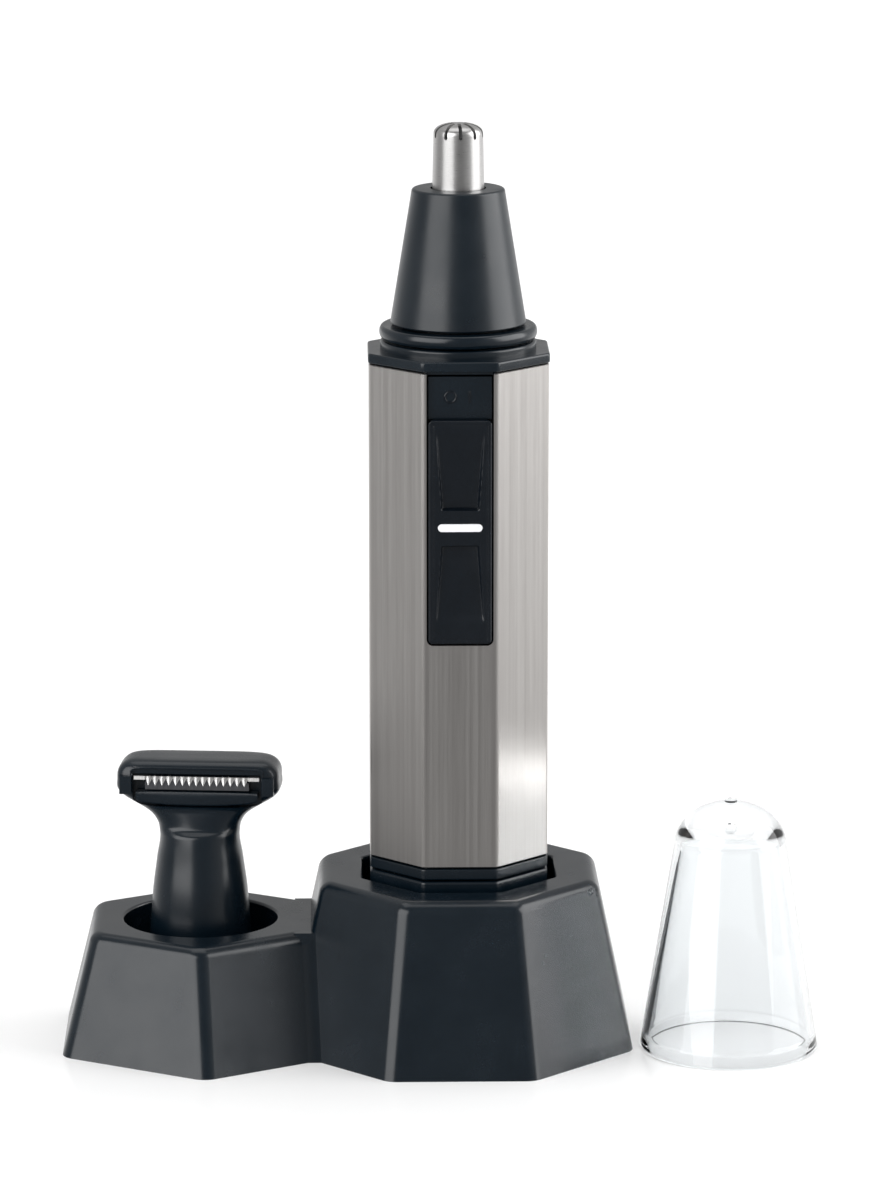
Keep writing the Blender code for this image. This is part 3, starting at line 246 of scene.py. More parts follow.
def main_lobe(name, edge, inset=0.0, low=0.0):
    points = lobe_points(8, OCTAGON_FIRST, main_bottom, main_top, main_height, edge, inset, low=low)
    return grid_object(name, points, black_abs)


def side_lobe(name, edge, inset=0.0, low=0.0):
    points = lobe_points(
        6, HEXAGON_FIRST, side_bottom, side_top, side_height, edge, inset, side_x_bottom, side_x_top, low
    )
    return grid_object(name, points, black_abs)


def valley_web():
    """The narrow facet between the lobes. The two facets meet where 30 and 45 degree lines cross, and the
    web's face lies a little in front of that line."""
    z = np.array([0.0, side_height - 0.02 * MM])
    main = (main_bottom + (main_top - main_bottom) * z / main_height) / 2
    side = (side_bottom + (side_top - side_bottom) * z / side_height) / 2
    centre = side_x_bottom + (side_x_top - side_x_bottom) * z / side_height
    slope = np.tan(np.radians(30))
    x = -(main * np.sqrt(2) - 2 * side / np.sqrt(3) - slope * centre) / (1 + slope)
    y = main * np.sqrt(2) + x + 0.8 * MM
    across = x[:, None] + np.array([-1, 1, 1, -1])[None, :] * 2.5 * MM
    deep = y[:, None] * np.array([-1, -1, 1, 1])[None, :]
    points = np.stack(np.broadcast_arrays(across, deep, z[:, None]), -1)
    return grid_object("valley_web", points, black_abs)


def socket_tool(sides, first, flats, floor, top, x=0.0, steps=8):
    """The space of a socket. Its wall flares by a quarter circle at the mouth, which leaves a round lip."""
    turn = np.linspace(0, np.pi / 2, 7)
    z = np.concatenate([[floor], top - LIP + LIP * np.sin(turn), [top + 1 * MM]])
    wide = np.concatenate([[0.0], LIP * (1 - np.cos(turn)), [LIP]])
    corner = 1.4 * MM if sides == 8 else flats / 2 * 0.999
    return grid_object("socket_tool", polygon_rings(sides, first, flats + 2 * wide, corner, z, x, steps), black_abs)


stand = main_lobe("stand_moulding", STAND_EDGE)
carve(stand, side_lobe("side", 1.5 * MM), "UNION")
carve(stand, valley_web(), "UNION")
carve(stand, main_lobe("main_hollow", 0.0, STAND_WALL, -1 * MM))
carve(stand, side_lobe("side_hollow", 0.0, STAND_WALL, -1 * MM))
socket_wall = polygon_rings(
    8, OCTAGON_FIRST, socket_flats + 3.6 * MM, 1.4 * MM, [socket_floor - 1.8 * MM, main_height - 1 * MM]
)
carve(stand, grid_object("socket_wall", socket_wall, black_abs), "UNION")
cup_wall = polygon_rings(
    16, 0.0, 2 * hole_radius + 3 * MM, hole_radius, [cup_floor - 1.3 * MM, side_height - 1 * MM], side_x_top, 6
)
carve(stand, grid_object("cup_wall", cup_wall, black_abs), "UNION")
carve(stand, socket_tool(8, OCTAGON_FIRST, socket_flats, socket_floor, main_height))
carve(stand, socket_tool(16, 0.0, 2 * hole_radius, cup_floor, side_height, side_x_top, 6))
place_piece(stand, "stand", "gloss_black", "stand_shell", sharp=30)

# ---- Base plate and its screws ----
# A flat moulded plate closes the stand from below, held by four self-tapping steel screws.


def satin_abs(name, colour):
    """Moulded ABS with a spark-eroded texture, about 0.15 mm between its grains."""
    material, tree, shader, place = blank_material(name)
    grain = add(tree, "TexNoise", {"Vector": place, "Scale": 6500.0, "Detail": 2.0})
    cloud = add(tree, "TexNoise", {"Vector": place, "Scale": 90.0, "Detail": 4.0})
    bump = add(tree, "Bump", {"Height": grain.outputs["Fac"], "Strength": 0.25, "Distance": 0.00003})
    tone = add(tree, "ValToRGB", {"Fac": cloud.outputs["Fac"]})
    tone.color_ramp.elements[0].color = [c * 0.8 for c in linear(colour)[:3]] + [1.0]
    tone.color_ramp.elements[1].color = [c * 1.25 for c in linear(colour)[:3]] + [1.0]
    tree.links.new(tone.outputs["Color"], shader.inputs["Base Color"])
    tree.links.new(bump.outputs["Normal"], shader.inputs["Normal"])
    shader.inputs["Roughness"].default_value = 0.5
    shader.inputs["IOR"].default_value = 1.54
    return material


def metal(name, colour, roughness, stretch, depth=0.1):
    """Bare metal with fine marks. stretch is how many marks lie in a metre along X, Y and Z."""
    material, tree, shader, place = blank_material(name)
    spread = add(tree, "Mapping", {"Vector": place, "Scale": stretch})
    lines = add(tree, "TexNoise", {"Vector": spread.outputs["Vector"], "Scale": 1.0, "Detail": 3.0})
    tone = add(tree, "ValToRGB", {"Fac": lines.outputs["Fac"]})
    tone.color_ramp.elements[0].position = 0.3
    tone.color_ramp.elements[0].color = [c * (1 - depth) for c in linear(colour)[:3]] + [1.0]
    tone.color_ramp.elements[1].position = 0.7
    tone.color_ramp.elements[1].color = [min(c * (1 + depth), 1.0) for c in linear(colour)[:3]] + [1.0]
    rough = add(
        tree,
        "MapRange",
        {"Value": lines.outputs["Fac"], "To Min": roughness * 0.8, "To Max": roughness * 1.2},
    )
    bump = add(tree, "Bump", {"Height": lines.outputs["Fac"], "Strength": 0.12, "Distance": 0.00001})
    tree.links.new(tone.outputs["Color"], shader.inputs["Base Color"])
    tree.links.new(rough.outputs["Result"], shader.inputs["Roughness"])
    tree.links.new(bump.outputs["Normal"], shader.inputs["Normal"])
    shader.inputs["Metallic"].default_value = 1.0
    return material


def dress(material, *names):
    """Give CAD nodes a material."""
    for name in names:
        slots = nodes[name].data.materials
        slots.clear()
        slots.append(material)


textured_abs = satin_abs("textured_black_abs", "#14181c")
zinc_screw = metal("zinc_plated_screw_steel", "#b9bcc0", 0.28, (3000.0, 3000.0, 3000.0))
dress(textured_abs, "stand_base_plate")
dress(zinc_screw, "stand_screw_1", "stand_screw_2", "stand_screw_3", "stand_screw_4")

# ---- Steel sleeve ----
# The grip is an octagonal tube folded from stainless sheet and brushed along its length, with a
# window for the switch cut down from its top edge.
sleeve_low, sleeve_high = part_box("steel_sleeve")
handle_flats = sleeve_high.x * 2
handle_corner = 1.1 * MM
sleeve_wall = 0.8 * MM
sleeve_break = 0.12 * MM


def brushed_steel():
    """Brushed stainless: hair-fine scratches along the grip, over slow bands where the belt pressed harder."""
    material, tree, shader, place = blank_material("brushed_stainless")
    fine = add(tree, "Mapping", {"Vector": place, "Scale": (14000.0, 14000.0, 90.0)})
    scratches = add(tree, "TexNoise", {"Vector": fine.outputs["Vector"], "Scale": 1.0, "Detail": 3.0})
    broad = add(tree, "Mapping", {"Vector": place, "Scale": (1600.0, 1600.0, 7.0)})
    bands = add(tree, "TexNoise", {"Vector": broad.outputs["Vector"], "Scale": 1.0, "Detail": 2.0})
    both = add(
        tree,
        "Math",
        {0: scratches.outputs["Fac"], 1: bands.outputs["Fac"]},
        operation="ADD",
    )
    tone = add(tree, "MapRange", {"Value": both.outputs["Value"], "From Min": 0.7, "From Max": 1.3})
    colour = add(tree, "ValToRGB", {"Fac": tone.outputs["Result"]})
    colour.color_ramp.elements[0].color = linear("#c4c0bd")
    colour.color_ramp.elements[1].color = linear("#cfccc9")
    rough = add(
        tree,
        "MapRange",
        {"Value": tone.outputs["Result"], "To Min": 0.30, "To Max": 0.40},
    )
    bump = add(tree, "Bump", {"Height": scratches.outputs["Fac"], "Strength": 0.08, "Distance": 0.000006})
    tangent = add(tree, "Tangent", direction_type="RADIAL", axis="Z")
    tree.links.new(colour.outputs["Color"], shader.inputs["Base Color"])
    tree.links.new(rough.outputs["Result"], shader.inputs["Roughness"])
    tree.links.new(bump.outputs["Normal"], shader.inputs["Normal"])
    tree.links.new(tangent.outputs["Tangent"], shader.inputs["Tangent"])
    shader.inputs["Anisotropic"].default_value = 0.45
    shader.inputs["Metallic"].default_value = 1.0
    return material


steel_brushed = brushed_steel()


def sleeve_points():
    """A closed wall: up the outside with its ends broken by a small chamfer, and down the inside."""
    outer = np.array([handle_flats - 2 * sleeve_break, handle_flats, handle_flats, handle_flats - 2 * sleeve_break])
    inner = np.full(2, handle_flats - 2 * sleeve_wall)
    flats = np.concatenate([outer, inner])
    z = np.array(
        [
            sleeve_low.z,
            sleeve_low.z + sleeve_break,
            sleeve_high.z - sleeve_break,
            sleeve_high.z,
            sleeve_high.z,
            sleeve_low.z,
        ]
    )
    corner = np.concatenate([np.full(4, handle_corner), np.full(2, handle_corner - 0.6 * MM)])
    return polygon_rings(8, OCTAGON_FIRST, flats, corner, z)


def window_points(width, bottom, top, corner, front, back):
    """The window's block: a rectangle with two quarter-round lower corners, carried along Y."""
    turn = np.linspace(np.pi, 1.5 * np.pi, 9)
    x = np.concatenate(
        [[-width / 2], -width / 2 + corner + corner * np.cos(turn), width / 2 - corner - corner * np.cos(turn[::-1]), [width / 2]]
    )
    z = np.concatenate([[top], bottom + corner + corner * np.sin(turn), bottom + corner + corner * np.sin(turn[::-1]), [top]])
    return np.stack([np.stack([x, np.full_like(x, y), z], -1) for y in (front, back)])


window_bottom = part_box("switch_button")[0].z - 0.3 * MM
sleeve = grid_object("brushed_sleeve", sleeve_points(), steel_brushed, along=True)
window_tool = window_points(10.4 * MM, window_bottom, sleeve_high.z + 1 * MM, 1.0 * MM, -16 * MM, -9 * MM)
carve(sleeve, grid_object("window_tool", window_tool, steel_brushed))
place_piece(sleeve, "handle", "brushed_steel", "steel_sleeve", sharp=30)

# ---- Bottom ring and battery cap ----
# Two gloss mouldings with the grip's outline. The ring is fixed in the sleeve, and the cap below it
# turns off on its round spigot to let the cell out.


def octagon_block(name, node, top_edge, bottom_edge, flats, low=None, high=None):
    """A solid octagon with quarter-round end edges, between a node's own heights unless others are given."""
    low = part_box(node)[0].z if low is None else low
    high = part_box(node)[1].z if high is None else high
    turn = np.linspace(0, np.pi / 2, 5)
    z = np.concatenate(
        [low + bottom_edge * (1 - np.cos(turn)), high - top_edge + top_edge * np.sin(turn)]
    )
    pull = np.concatenate([bottom_edge * (1 - np.sin(turn)), top_edge * (1 - np.cos(turn))])
    return grid_object(name, polygon_rings(8, OCTAGON_FIRST, flats - 2 * pull, handle_corner, z), black_abs)


def round_points(radius, z, count=96):
    """Circles of given radii at given heights."""
    radius, z = (np.asarray(value, float)[:, None] for value in (radius, z))
    turn = np.linspace(0, 2 * np.pi, count, endpoint=False)[None, :]
    return np.stack(np.broadcast_arrays(radius * np.cos(turn), radius * np.sin(turn), z), -1)


cap_low, cap_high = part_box("battery_cap")
cap_top = cap_high.z - 5.0 * MM
spigot_radius = 9.3 * MM
cell_bore = 7.9 * MM
battery_cap = octagon_block("battery_cap_moulding", "battery_cap", 0.45 * MM, 0.6 * MM, handle_flats, high=cap_top)
spigot = round_points([spigot_radius] * 3 + [spigot_radius - 0.3 * MM], [cap_top - 1 * MM, cap_top, cap_high.z - 0.3 * MM, cap_high.z])
carve(battery_cap, grid_object("spigot", spigot, black_abs), "UNION")
carve(battery_cap, grid_object("cell_room", round_points([11.2 * MM] * 2, [cap_low.z + 2 * MM, cap_top - 1.5 * MM]), black_abs))
carve(battery_cap, grid_object("cell_mouth", round_points([cell_bore] * 2, [cap_top - 2.5 * MM, cap_high.z + 1 * MM]), black_abs))
place_piece(battery_cap, "bottom_cap", "gloss_black", "battery_cap", sharp=30)

ring_low, ring_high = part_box("bottom_ring")
ring_top = ring_high.z - 7.5 * MM
bottom_ring = octagon_block("bottom_ring_moulding", "bottom_ring", 0.2 * MM, 0.25 * MM, handle_flats, high=ring_top)
ring_spigot = polygon_rings(8, OCTAGON_FIRST, 25.8 * MM, handle_corner, [ring_top - 0.5 * MM, ring_high.z])
carve(bottom_ring, grid_object("ring_spigot", ring_spigot, black_abs), "UNION")
ring_bore = round_points([9.6 * MM] * 2, [ring_low.z - 1 * MM, cap_high.z + 0.3 * MM])
carve(bottom_ring, grid_object("ring_bore", ring_bore, black_abs))
ring_through = round_points([cell_bore] * 2, [ring_low.z - 1 * MM, ring_high.z + 1 * MM])
carve(bottom_ring, grid_object("ring_through", ring_through, black_abs))
place_piece(bottom_ring, "handle", "gloss_black", "bottom_ring", sharp=30)

# ---- Top collar and neck ring ----
# The collar plugs the sleeve's top and steps in to a round disc; the bull-nosed ring above it guides
# the head's spigot. Both are gloss ABS.
collar_low, collar_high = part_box("top_collar")
collar_base = sleeve_high.z + 0.3 * MM
disc_base = collar_base + 1.5 * MM
coupler_bore = 4.6 * MM
collar = octagon_block("top_collar_moulding", "top_collar", 0.35 * MM, 0.2 * MM, 28.3 * MM, collar_base, disc_base)
turn = np.linspace(0, np.pi / 2, 7)
disc_radius = np.concatenate([[12.2 * MM], 12.2 * MM - 0.4 * MM * (1 - np.cos(turn))])
disc_z = np.concatenate([[disc_base - 0.5 * MM], collar_high.z - 0.4 * MM + 0.4 * MM * np.sin(turn)])
carve(collar, grid_object("collar_disc", round_points(disc_radius, disc_z), black_abs), "UNION")
plug = polygon_rings(8, OCTAGON_FIRST, 25.8 * MM, handle_corner, [collar_low.z, collar_base + 0.4 * MM])
carve(collar, grid_object("collar_plug", plug, black_abs), "UNION")
collar_bore = round_points([coupler_bore] * 2, [collar_low.z - 1 * MM, collar_high.z + 1 * MM])
carve(collar, grid_object("collar_bore", collar_bore, black_abs))
place_piece(collar, "handle", "gloss_black", "top_collar", sharp=30)


def bullnose_points(outer, inner, low, high):
    """A ring whose outer edge is half an ellipse as high as the ring, with a small quarter round inside."""
    nose = (high - low) / 2
    reach = 0.6 * nose
    turn = np.linspace(-np.pi / 2, np.pi / 2, 17)
    lip = 0.25 * MM
    inward = np.linspace(0, np.pi / 2, 5)
    radius = np.concatenate([outer - reach * (1 - np.cos(turn)), inner + lip * (1 - np.sin(inward)), [inner]])
    z = np.concatenate([(low + high) / 2 + nose * np.sin(turn), high - lip * (1 - np.cos(inward)), [low]])
    return round_points(radius, z)


neck_low, neck_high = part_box("neck_ring")
neck_points = bullnose_points(neck_high.x, 8.8 * MM, neck_low.z, neck_high.z)
neck = grid_object("neck_ring_moulding", neck_points, black_abs, along=True)
place_piece(neck, "handle", "gloss_black", "neck_ring")

# ---- Slide switch ----
# A long moulded button with two ramped finger wells runs in the window, over a black track panel.
# A white index bar is pressed into the ridge between the wells.
button_low, button_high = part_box("switch_button")
button_half = 4.95 * MM
button_front = -button_low.y
button_middle = (button_low.z + button_high.z) / 2 + 0.75 * MM
button_corner = 0.95 * MM
well_depth = 1.05 * MM
well_start = 2.75 * MM
well_end = 15.3 * MM
switch_abs = gloss_abs("gloss_black_switch_abs", "#070f17", 0.22, 2600.0)


def smooth_step(value):
    """Rises from 0 to 1 with flat ends: 3 t squared less 2 t cubed."""
    share = np.clip(value, 0, 1)
    return share * share * (3 - 2 * share)


def button_face(x, z):
    """How far the button's face lies behind its front plane. It is crowned a little, its border falls off
    by a quarter circle, and each well is a ramp: deepest at a step by the middle ridge, fading outwards."""
    edge = 0.4 * MM
    border = np.minimum(button_half - np.abs(x), np.minimum(z - button_low.z, button_high.z - z))
    near = np.clip(edge - border, 0, edge)
    fall = edge - np.sqrt(np.maximum(edge**2 - near**2, 0))
    line = 0.07 * MM * np.exp(-(((border - 0.75 * MM) / (0.09 * MM)) ** 2))
    out = np.abs(z - button_middle)
    run = (out - well_start) / (well_end - well_start)
    half = (2.95 + 0.9 * np.clip(run, 0, 1)) * MM
    soft = 0.32 * MM
    inside = smooth_step((half - np.abs(x)) / soft) * smooth_step((out - well_start) / soft)
    inside = inside * smooth_step((well_end - out) / (1.6 * MM))
    ramp = well_depth * (1 - 0.78 * np.clip(run, 0, 1))
    bowl = 1 - 0.25 * np.clip(np.abs(x) / np.maximum(half, 1e-6), 0, 1) ** 2
    return fall + line + ramp * inside * bowl


def button_points():
    """The face is a grid over a round-cornered rectangle, and the next two rows carry its rim to the back."""
    z = np.linspace(button_low.z, button_high.z, 330)
    close = np.clip(button_corner - np.minimum(z - button_low.z, button_high.z - z), 0, button_corner)
    half = button_half - button_corner + np.sqrt(button_corner**2 - close**2)
    side = np.linspace(-1, 1, 91)
    x = half[:, None] * side[None, :]
    z = np.broadcast_to(z[:, None], x.shape)
    y = -button_front + button_face(x, z)
    face = np.stack([x, y, z], -1)
    back = face.copy()
    back[..., 1] = -button_front + 1.05 * MM
    return face, back


def slab_mesh(name, face, back):
    """Two like grids joined round their rims into one closed slab."""
    rows, count = face.shape[:2]
    row = np.arange(rows - 1)[:, None]
    column = np.arange(count - 1)[None, :]
    corner = row * count + column
    front = np.stack([corner, corner + 1, corner + count + 1, corner + count], -1).reshape(-1, 4)
    rear = front[:, ::-1] + rows * count
    rim = np.concatenate(
        [
            np.arange(count),
            np.arange(1, rows) * count + count - 1,
            (rows - 1) * count + np.arange(count - 2, -1, -1),
            np.arange(rows - 2, 0, -1) * count,
        ]
    )
    after = np.roll(rim, -1)
    wall = np.stack([rim, rim + rows * count, after + rows * count, after], -1)
    points = np.concatenate([face.reshape(-1, 3), back.reshape(-1, 3)])
    mesh = bpy.data.meshes.new(name)
    mesh.from_pydata(points.tolist(), [], np.concatenate([front, rear, wall]).tolist())
    return mesh


button = shaded("switch_button_moulding", slab_mesh("switch_button_moulding", *button_points()), switch_abs, 50)
place_piece(button, "switch", "gloss_black", "switch_button", sharp=50)


def block_points(low, high, edge):
    """An upright block with quarter-round upright edges, as two rings."""
    turn = np.linspace(0, 2 * np.pi, 32, endpoint=False) + np.pi / 32
    sign_x, sign_y = np.sign(np.cos(turn)), np.sign(np.sin(turn))
    x = (low[0] + high[0]) / 2 + sign_x * ((high[0] - low[0]) / 2 - edge) + edge * np.cos(turn)
    y = (low[1] + high[1]) / 2 + sign_y * ((high[1] - low[1]) / 2 - edge) + edge * np.sin(turn)
    return np.stack([np.stack([x, y, np.full_like(x, z)], -1) for z in (low[2], high[2])])


stem_low = (-button_half, -13.4 * MM, button_low.z + 0.3 * MM)
stem_high = (button_half, -10.95 * MM, button_high.z - 4.5 * MM)
stem = grid_object("switch_button_stem", block_points(stem_low, stem_high, 0.3 * MM), switch_abs)
place_piece(stem, "switch", "gloss_black")

index_paint = gloss_abs("white_moulded_abs", "#f2f3f6", 0.3, 2600.0)


def index_points(length, height, front, rise, z):
    """A bar with round ends: each ring is a stadium, drawn in by a quarter circle towards its crown."""
    turn = np.linspace(0, 2 * np.pi, 48, endpoint=False)
    lift = np.linspace(0, np.pi / 2, 8)
    pull = rise * (1 - np.cos(lift))
    y = front - rise * np.sin(lift)
    y = np.concatenate([[front + 0.5 * MM], y])
    radius = height / 2 - np.concatenate([[0.0], pull])
    x = np.sign(np.cos(turn))[None, :] * (length / 2 - height / 2) + radius[:, None] * np.cos(turn)[None, :]
    up = z + radius[:, None] * np.sin(turn)[None, :]
    return np.stack(np.broadcast_arrays(x, y[:, None], up), -1)


index_z = sum(corner.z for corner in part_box("button_index_bar")) / 2
index = grid_object("index_bar", index_points(6.9 * MM, 1.25 * MM, -button_front + 0.0, 0.12 * MM, index_z), index_paint)
place_piece(index, "switch", "white_inlay", "button_index_bar")

track_low, track_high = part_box("switch_track_panel")
track = grid_object("switch_track", block_points(track_low, track_high, 0.15 * MM), black_abs)
mark_y = track_low.y
mark_z = track_low.z + 3.4 * MM


def stadium_bar(name, x, z, length, height):
    """A raised stroke on the track, upright, with round ends."""
    points = index_points(length, height, mark_y, 0.12 * MM, 0.0)
    turned = points[..., [2, 1, 0]]
    turned[..., 0] += x
    turned[..., 2] += z
    return grid_object(name, turned, switch_abs)


def ring_mark(name, x, z, radius, wire):
    """A raised ring on the track: a circle of wire carried round a circle."""
    around = np.linspace(0, 2 * np.pi, 40, endpoint=False)[:, None]
    section = np.linspace(0, 2 * np.pi, 12, endpoint=False)[None, :]
    reach = radius + wire * np.cos(section)
    points = np.stack(
        np.broadcast_arrays(x + reach * np.cos(around), mark_y + wire * np.sin(section), z + reach * np.sin(around)), -1
    )
    return grid_object(name, points, switch_abs, along=True)


place_piece(track, "handle", "gloss_black", "switch_track_panel")
place_piece(stadium_bar("switch_mark_on", 1.5 * MM, mark_z, 2.0 * MM, 0.4 * MM), "handle", "gloss_black")
place_piece(ring_mark("switch_mark_off", -1.5 * MM, mark_z, 0.85 * MM, 0.16 * MM), "handle", "gloss_black")

# ---- Nose head ----
# A gloss ABS cone carries a thin steel tube. The tube's domed end is sawn into fingers by ten slots,
# and a steel rotor spins inside it.
cone_low, cone_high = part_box("head_cone")
tube_low, tube_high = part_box("blade_tube")
cone_wall = 1.4 * MM
cone_top_radius = 7.29 * MM
tube_radius = 4.1 * MM
tube_top_radius = 3.86 * MM
tube_wall = 0.4 * MM
dome_height = 1.8 * MM


def cone_points():
    """A straight taper with a quarter-round top edge, a small round at its foot, and an inner wall."""
    edge = 0.5 * MM
    foot = 0.3 * MM
    turn = np.linspace(0, np.pi / 2, 9)
    radius = np.concatenate(
        [
            cone_high.x - foot * (1 - np.sin(turn[::2])),
            cone_top_radius - edge * (1 - np.cos(turn)),
            [tube_radius + 0.25 * MM, tube_radius + 0.25 * MM, cone_top_radius - cone_wall, cone_high.x - cone_wall],
        ]
    )
    z = np.concatenate(
        [
            cone_low.z + foot * (1 - np.cos(turn[::2])),
            cone_high.z - edge + edge * np.sin(turn),
            [cone_high.z, cone_high.z - cone_wall, cone_high.z - cone_wall, cone_low.z],
        ]
    )
    return round_points(radius, z, 128)


cone_abs = gloss_abs("handled_black_abs", "#08151e", 0.3, 2200.0)
cone = grid_object("head_cone_moulding", cone_points(), cone_abs, along=True)
place_piece(cone, "nose_head", "gloss_black", "head_cone")

tube_steel = metal("ground_blade_steel", "#c4c3c2", 0.3, (900.0, 900.0, 9000.0), 0.06)


def tube_points():
    """Up the outside, over a squarish dome (a superellipse of power 2.4) to the axis, and down the inside."""
    shoulder = tube_high.z - dome_height
    turn = np.linspace(0, np.pi / 2, 19)
    out = np.cos(turn) ** (2 / 2.4)
    up = np.sin(turn) ** (2 / 2.4)
    flange = 5.7 * MM
    radius = np.concatenate(
        [
            [tube_radius - tube_wall, flange, flange, tube_radius],
            tube_top_radius * out,
            (tube_top_radius - tube_wall) * out[::-1],
        ]
    )
    z = np.concatenate(
        [
            [tube_low.z, tube_low.z, tube_low.z + 1.6 * MM, tube_low.z + 1.6 * MM],
            shoulder + dome_height * up,
            shoulder + (dome_height - tube_wall) * up[::-1],
        ]
    )
    return round_points(np.maximum(radius, 0), z, 120)


def slot_points(number):
    """One slot: a stadium seen from outside, carried inwards from beyond the tube to the dome's hub."""
    width = 0.55 * MM
    bottom = tube_high.z - 2.3 * MM
    turn = np.linspace(np.pi, 2 * np.pi, 9)
    side = np.concatenate([width / 2 * np.cos(turn), [width / 2, -width / 2]])
    up = np.concatenate([bottom + width / 2 + width / 2 * np.sin(turn), [tube_high.z + 1 * MM] * 2])
    bearing = -np.pi / 2 + np.radians(4.5) + number * 2 * np.pi / 10
    rows = [
        np.stack([np.cos(bearing) * out - np.sin(bearing) * side, np.sin(bearing) * out + np.cos(bearing) * side, up], -1)
        for out in (1.0 * MM, 6 * MM)
    ]
    return np.stack(rows)


tube = grid_object("blade_tube_steel", tube_points(), tube_steel, along=True)
for number in range(10):
    carve(tube, grid_object(f"slot_{number}", slot_points(number), tube_steel))
place_piece(tube, "nose_head", "bright_steel", "blade_tube", sharp=40)

rotor_steel = metal("hardened_rotor_steel", "#85868a", 0.3, (4000.0, 4000.0, 800.0))
dress(rotor_steel, "rotor_blade")
dress(textured_abs, "head_base_insert", "rotor_shaft", "drive_coupler")

# ---- Inside the handle ----
# A two-part frame holds one AA cell and a small can motor, with stamped brass contacts. These keep the
# frame's own shapes, which show only when the trimmer is opened.
spring_steel = metal("nickel_plated_spring_steel", "#c9c6bf", 0.2, (5000.0, 5000.0, 5000.0))
motor_steel = metal("drawn_motor_can_steel", "#a9abad", 0.3, (2500.0, 2500.0, 200.0))
stamped_brass = metal("stamped_brass", "#c8a45a", 0.28, (3500.0, 600.0, 3500.0))
wound_copper = metal("enamelled_copper", "#a8592c", 0.35, (600.0, 600.0, 7000.0), 0.3)
frame_abs = satin_abs("inner_frame_abs", "#1b1d20")
ferrite = satin_abs("sintered_ferrite", "#3a3b3e")
cushion_rubber = satin_abs("cushion_rubber", "#101010")
cell_jacket = gloss_abs("cell_shrink_jacket", "#23415f", 0.3, 900.0)
dress(spring_steel, "battery_spring", "battery_spring_plate", "rotor_spring")
dress(zinc_screw, "chassis_screw_left", "chassis_screw_right")
dress(motor_steel, "motor_can")
dress(stamped_brass, "positive_contact", "negative_strip", "switch_contact_lower", "switch_contact_upper")
dress(stamped_brass, "switch_bridge", "motor_terminal_left", "motor_terminal_right")
dress(wound_copper, "motor_armature")
dress(frame_abs, "chassis_front", "chassis_rear", "motor_end_cap")
dress(ferrite, "motor_magnet_left", "motor_magnet_right")
dress(cushion_rubber, "motor_cushion")
dress(cell_jacket, "battery_cell")

# ---- Spare T-blade head ----
# A gloss ABS neck flares into a bar. A steel comb and the blade that slides behind it sit in a recess
# across the bar's front, over a jaw bar.
spare_x = -41.0 * MM
spare_turn = Matrix.Rotation(np.radians(-5.5), 4, "Z")
spare_place = Matrix.Translation((spare_x, 0, 0)) @ spare_turn
spare_base = 7.0 * MM
bar_half = 12.9 * MM
bar_front = 4.3 * MM


def set_in_stand(piece):
    """Move a piece made about the head's own axis to the head's place in the stand."""
    piece.data.transform(spare_place)
    return piece


def through(levels, values, z):
    """A smooth curve through given values: a cubic between each pair, with slopes from their neighbours."""
    levels, values = np.asarray(levels, float), np.asarray(values, float)
    slopes = np.gradient(values, levels)
    index = np.clip(np.searchsorted(levels, z, side="right") - 1, 0, len(levels) - 2)
    gap = levels[index + 1] - levels[index]
    t = (z - levels[index]) / gap
    start, end = values[index], values[index + 1]
    return (
        (1 + 2 * t) * (1 - t) ** 2 * start
        + t * (1 - t) ** 2 * gap * slopes[index]
        + t**2 * (3 - 2 * t) * end
        + t**2 * (t - 1) * gap * slopes[index + 1]
    )


def housing_points():
    """Sections up the head are superellipses: round at the neck, and squarer as they widen to the bar."""
    levels = [0.0, 1.6, 3.2, 5.6, 9.6, 17.9, 22.4, 26.5, 28.4, 30.0, 31.3, 32.4, 33.4, 35.4, 37.2]
    half_width = [10.5, 10.5, 9.5, 8.7, 8.14, 7.43, 6.83, 6.33, 6.75, 8.0, 10.0, 11.8, 12.75, 12.9, 12.8]
    half_depth = [10.5, 10.5, 9.5, 8.7, 8.14, 7.43, 6.7, 6.1, 5.7, 5.4, 5.1, 4.8, 4.6, 4.5, 4.35]
    squareness = [2, 2, 2, 2, 2, 2, 2, 2.1, 2.2, 2.4, 2.7, 3.2, 4.0, 5.0, 5.0]
    shoulder = 35.95
    rise = np.linspace(0, shoulder, 120)
    wide = through(levels, half_width, rise)
    deep = through(levels, half_depth, rise)
    power = through(levels, squareness, rise)
    crown = np.linspace(0, np.pi / 2, 12)[1:]
    wide = np.concatenate([wide, wide[-1] - 3.2 * (1 - np.cos(crown))])
    deep = np.concatenate([deep, deep[-1] * (0.2 + 0.8 * np.sqrt(np.maximum(np.cos(crown), 0)))])
    rise = np.concatenate([rise, shoulder + 2.6 * np.sin(crown)])
    power = np.concatenate([power, np.full(len(crown), 5.0)])
    turn = np.linspace(0, 2 * np.pi, 160, endpoint=False)[None, :]
    along, across = np.cos(turn), np.sin(turn)
    exponent = (2 / power)[:, None]
    x = (wide * MM)[:, None] * np.sign(along) * np.abs(along) ** exponent
    y = (deep * MM)[:, None] * np.sign(across) * np.abs(across) ** exponent
    bulge = smooth_step((rise - 29.0) / 5.0)[:, None] * 0.5
    scoop = smooth_step((rise - 26.6) / 1.1) * smooth_step((32.2 - rise) / 1.8) * 0.17
    y = y * (1 + bulge * (across > 0) - scoop[:, None] * np.maximum(-across, 0))
    z = (spare_base + rise * MM)[:, None]
    return np.stack(np.broadcast_arrays(x, y, z), -1)


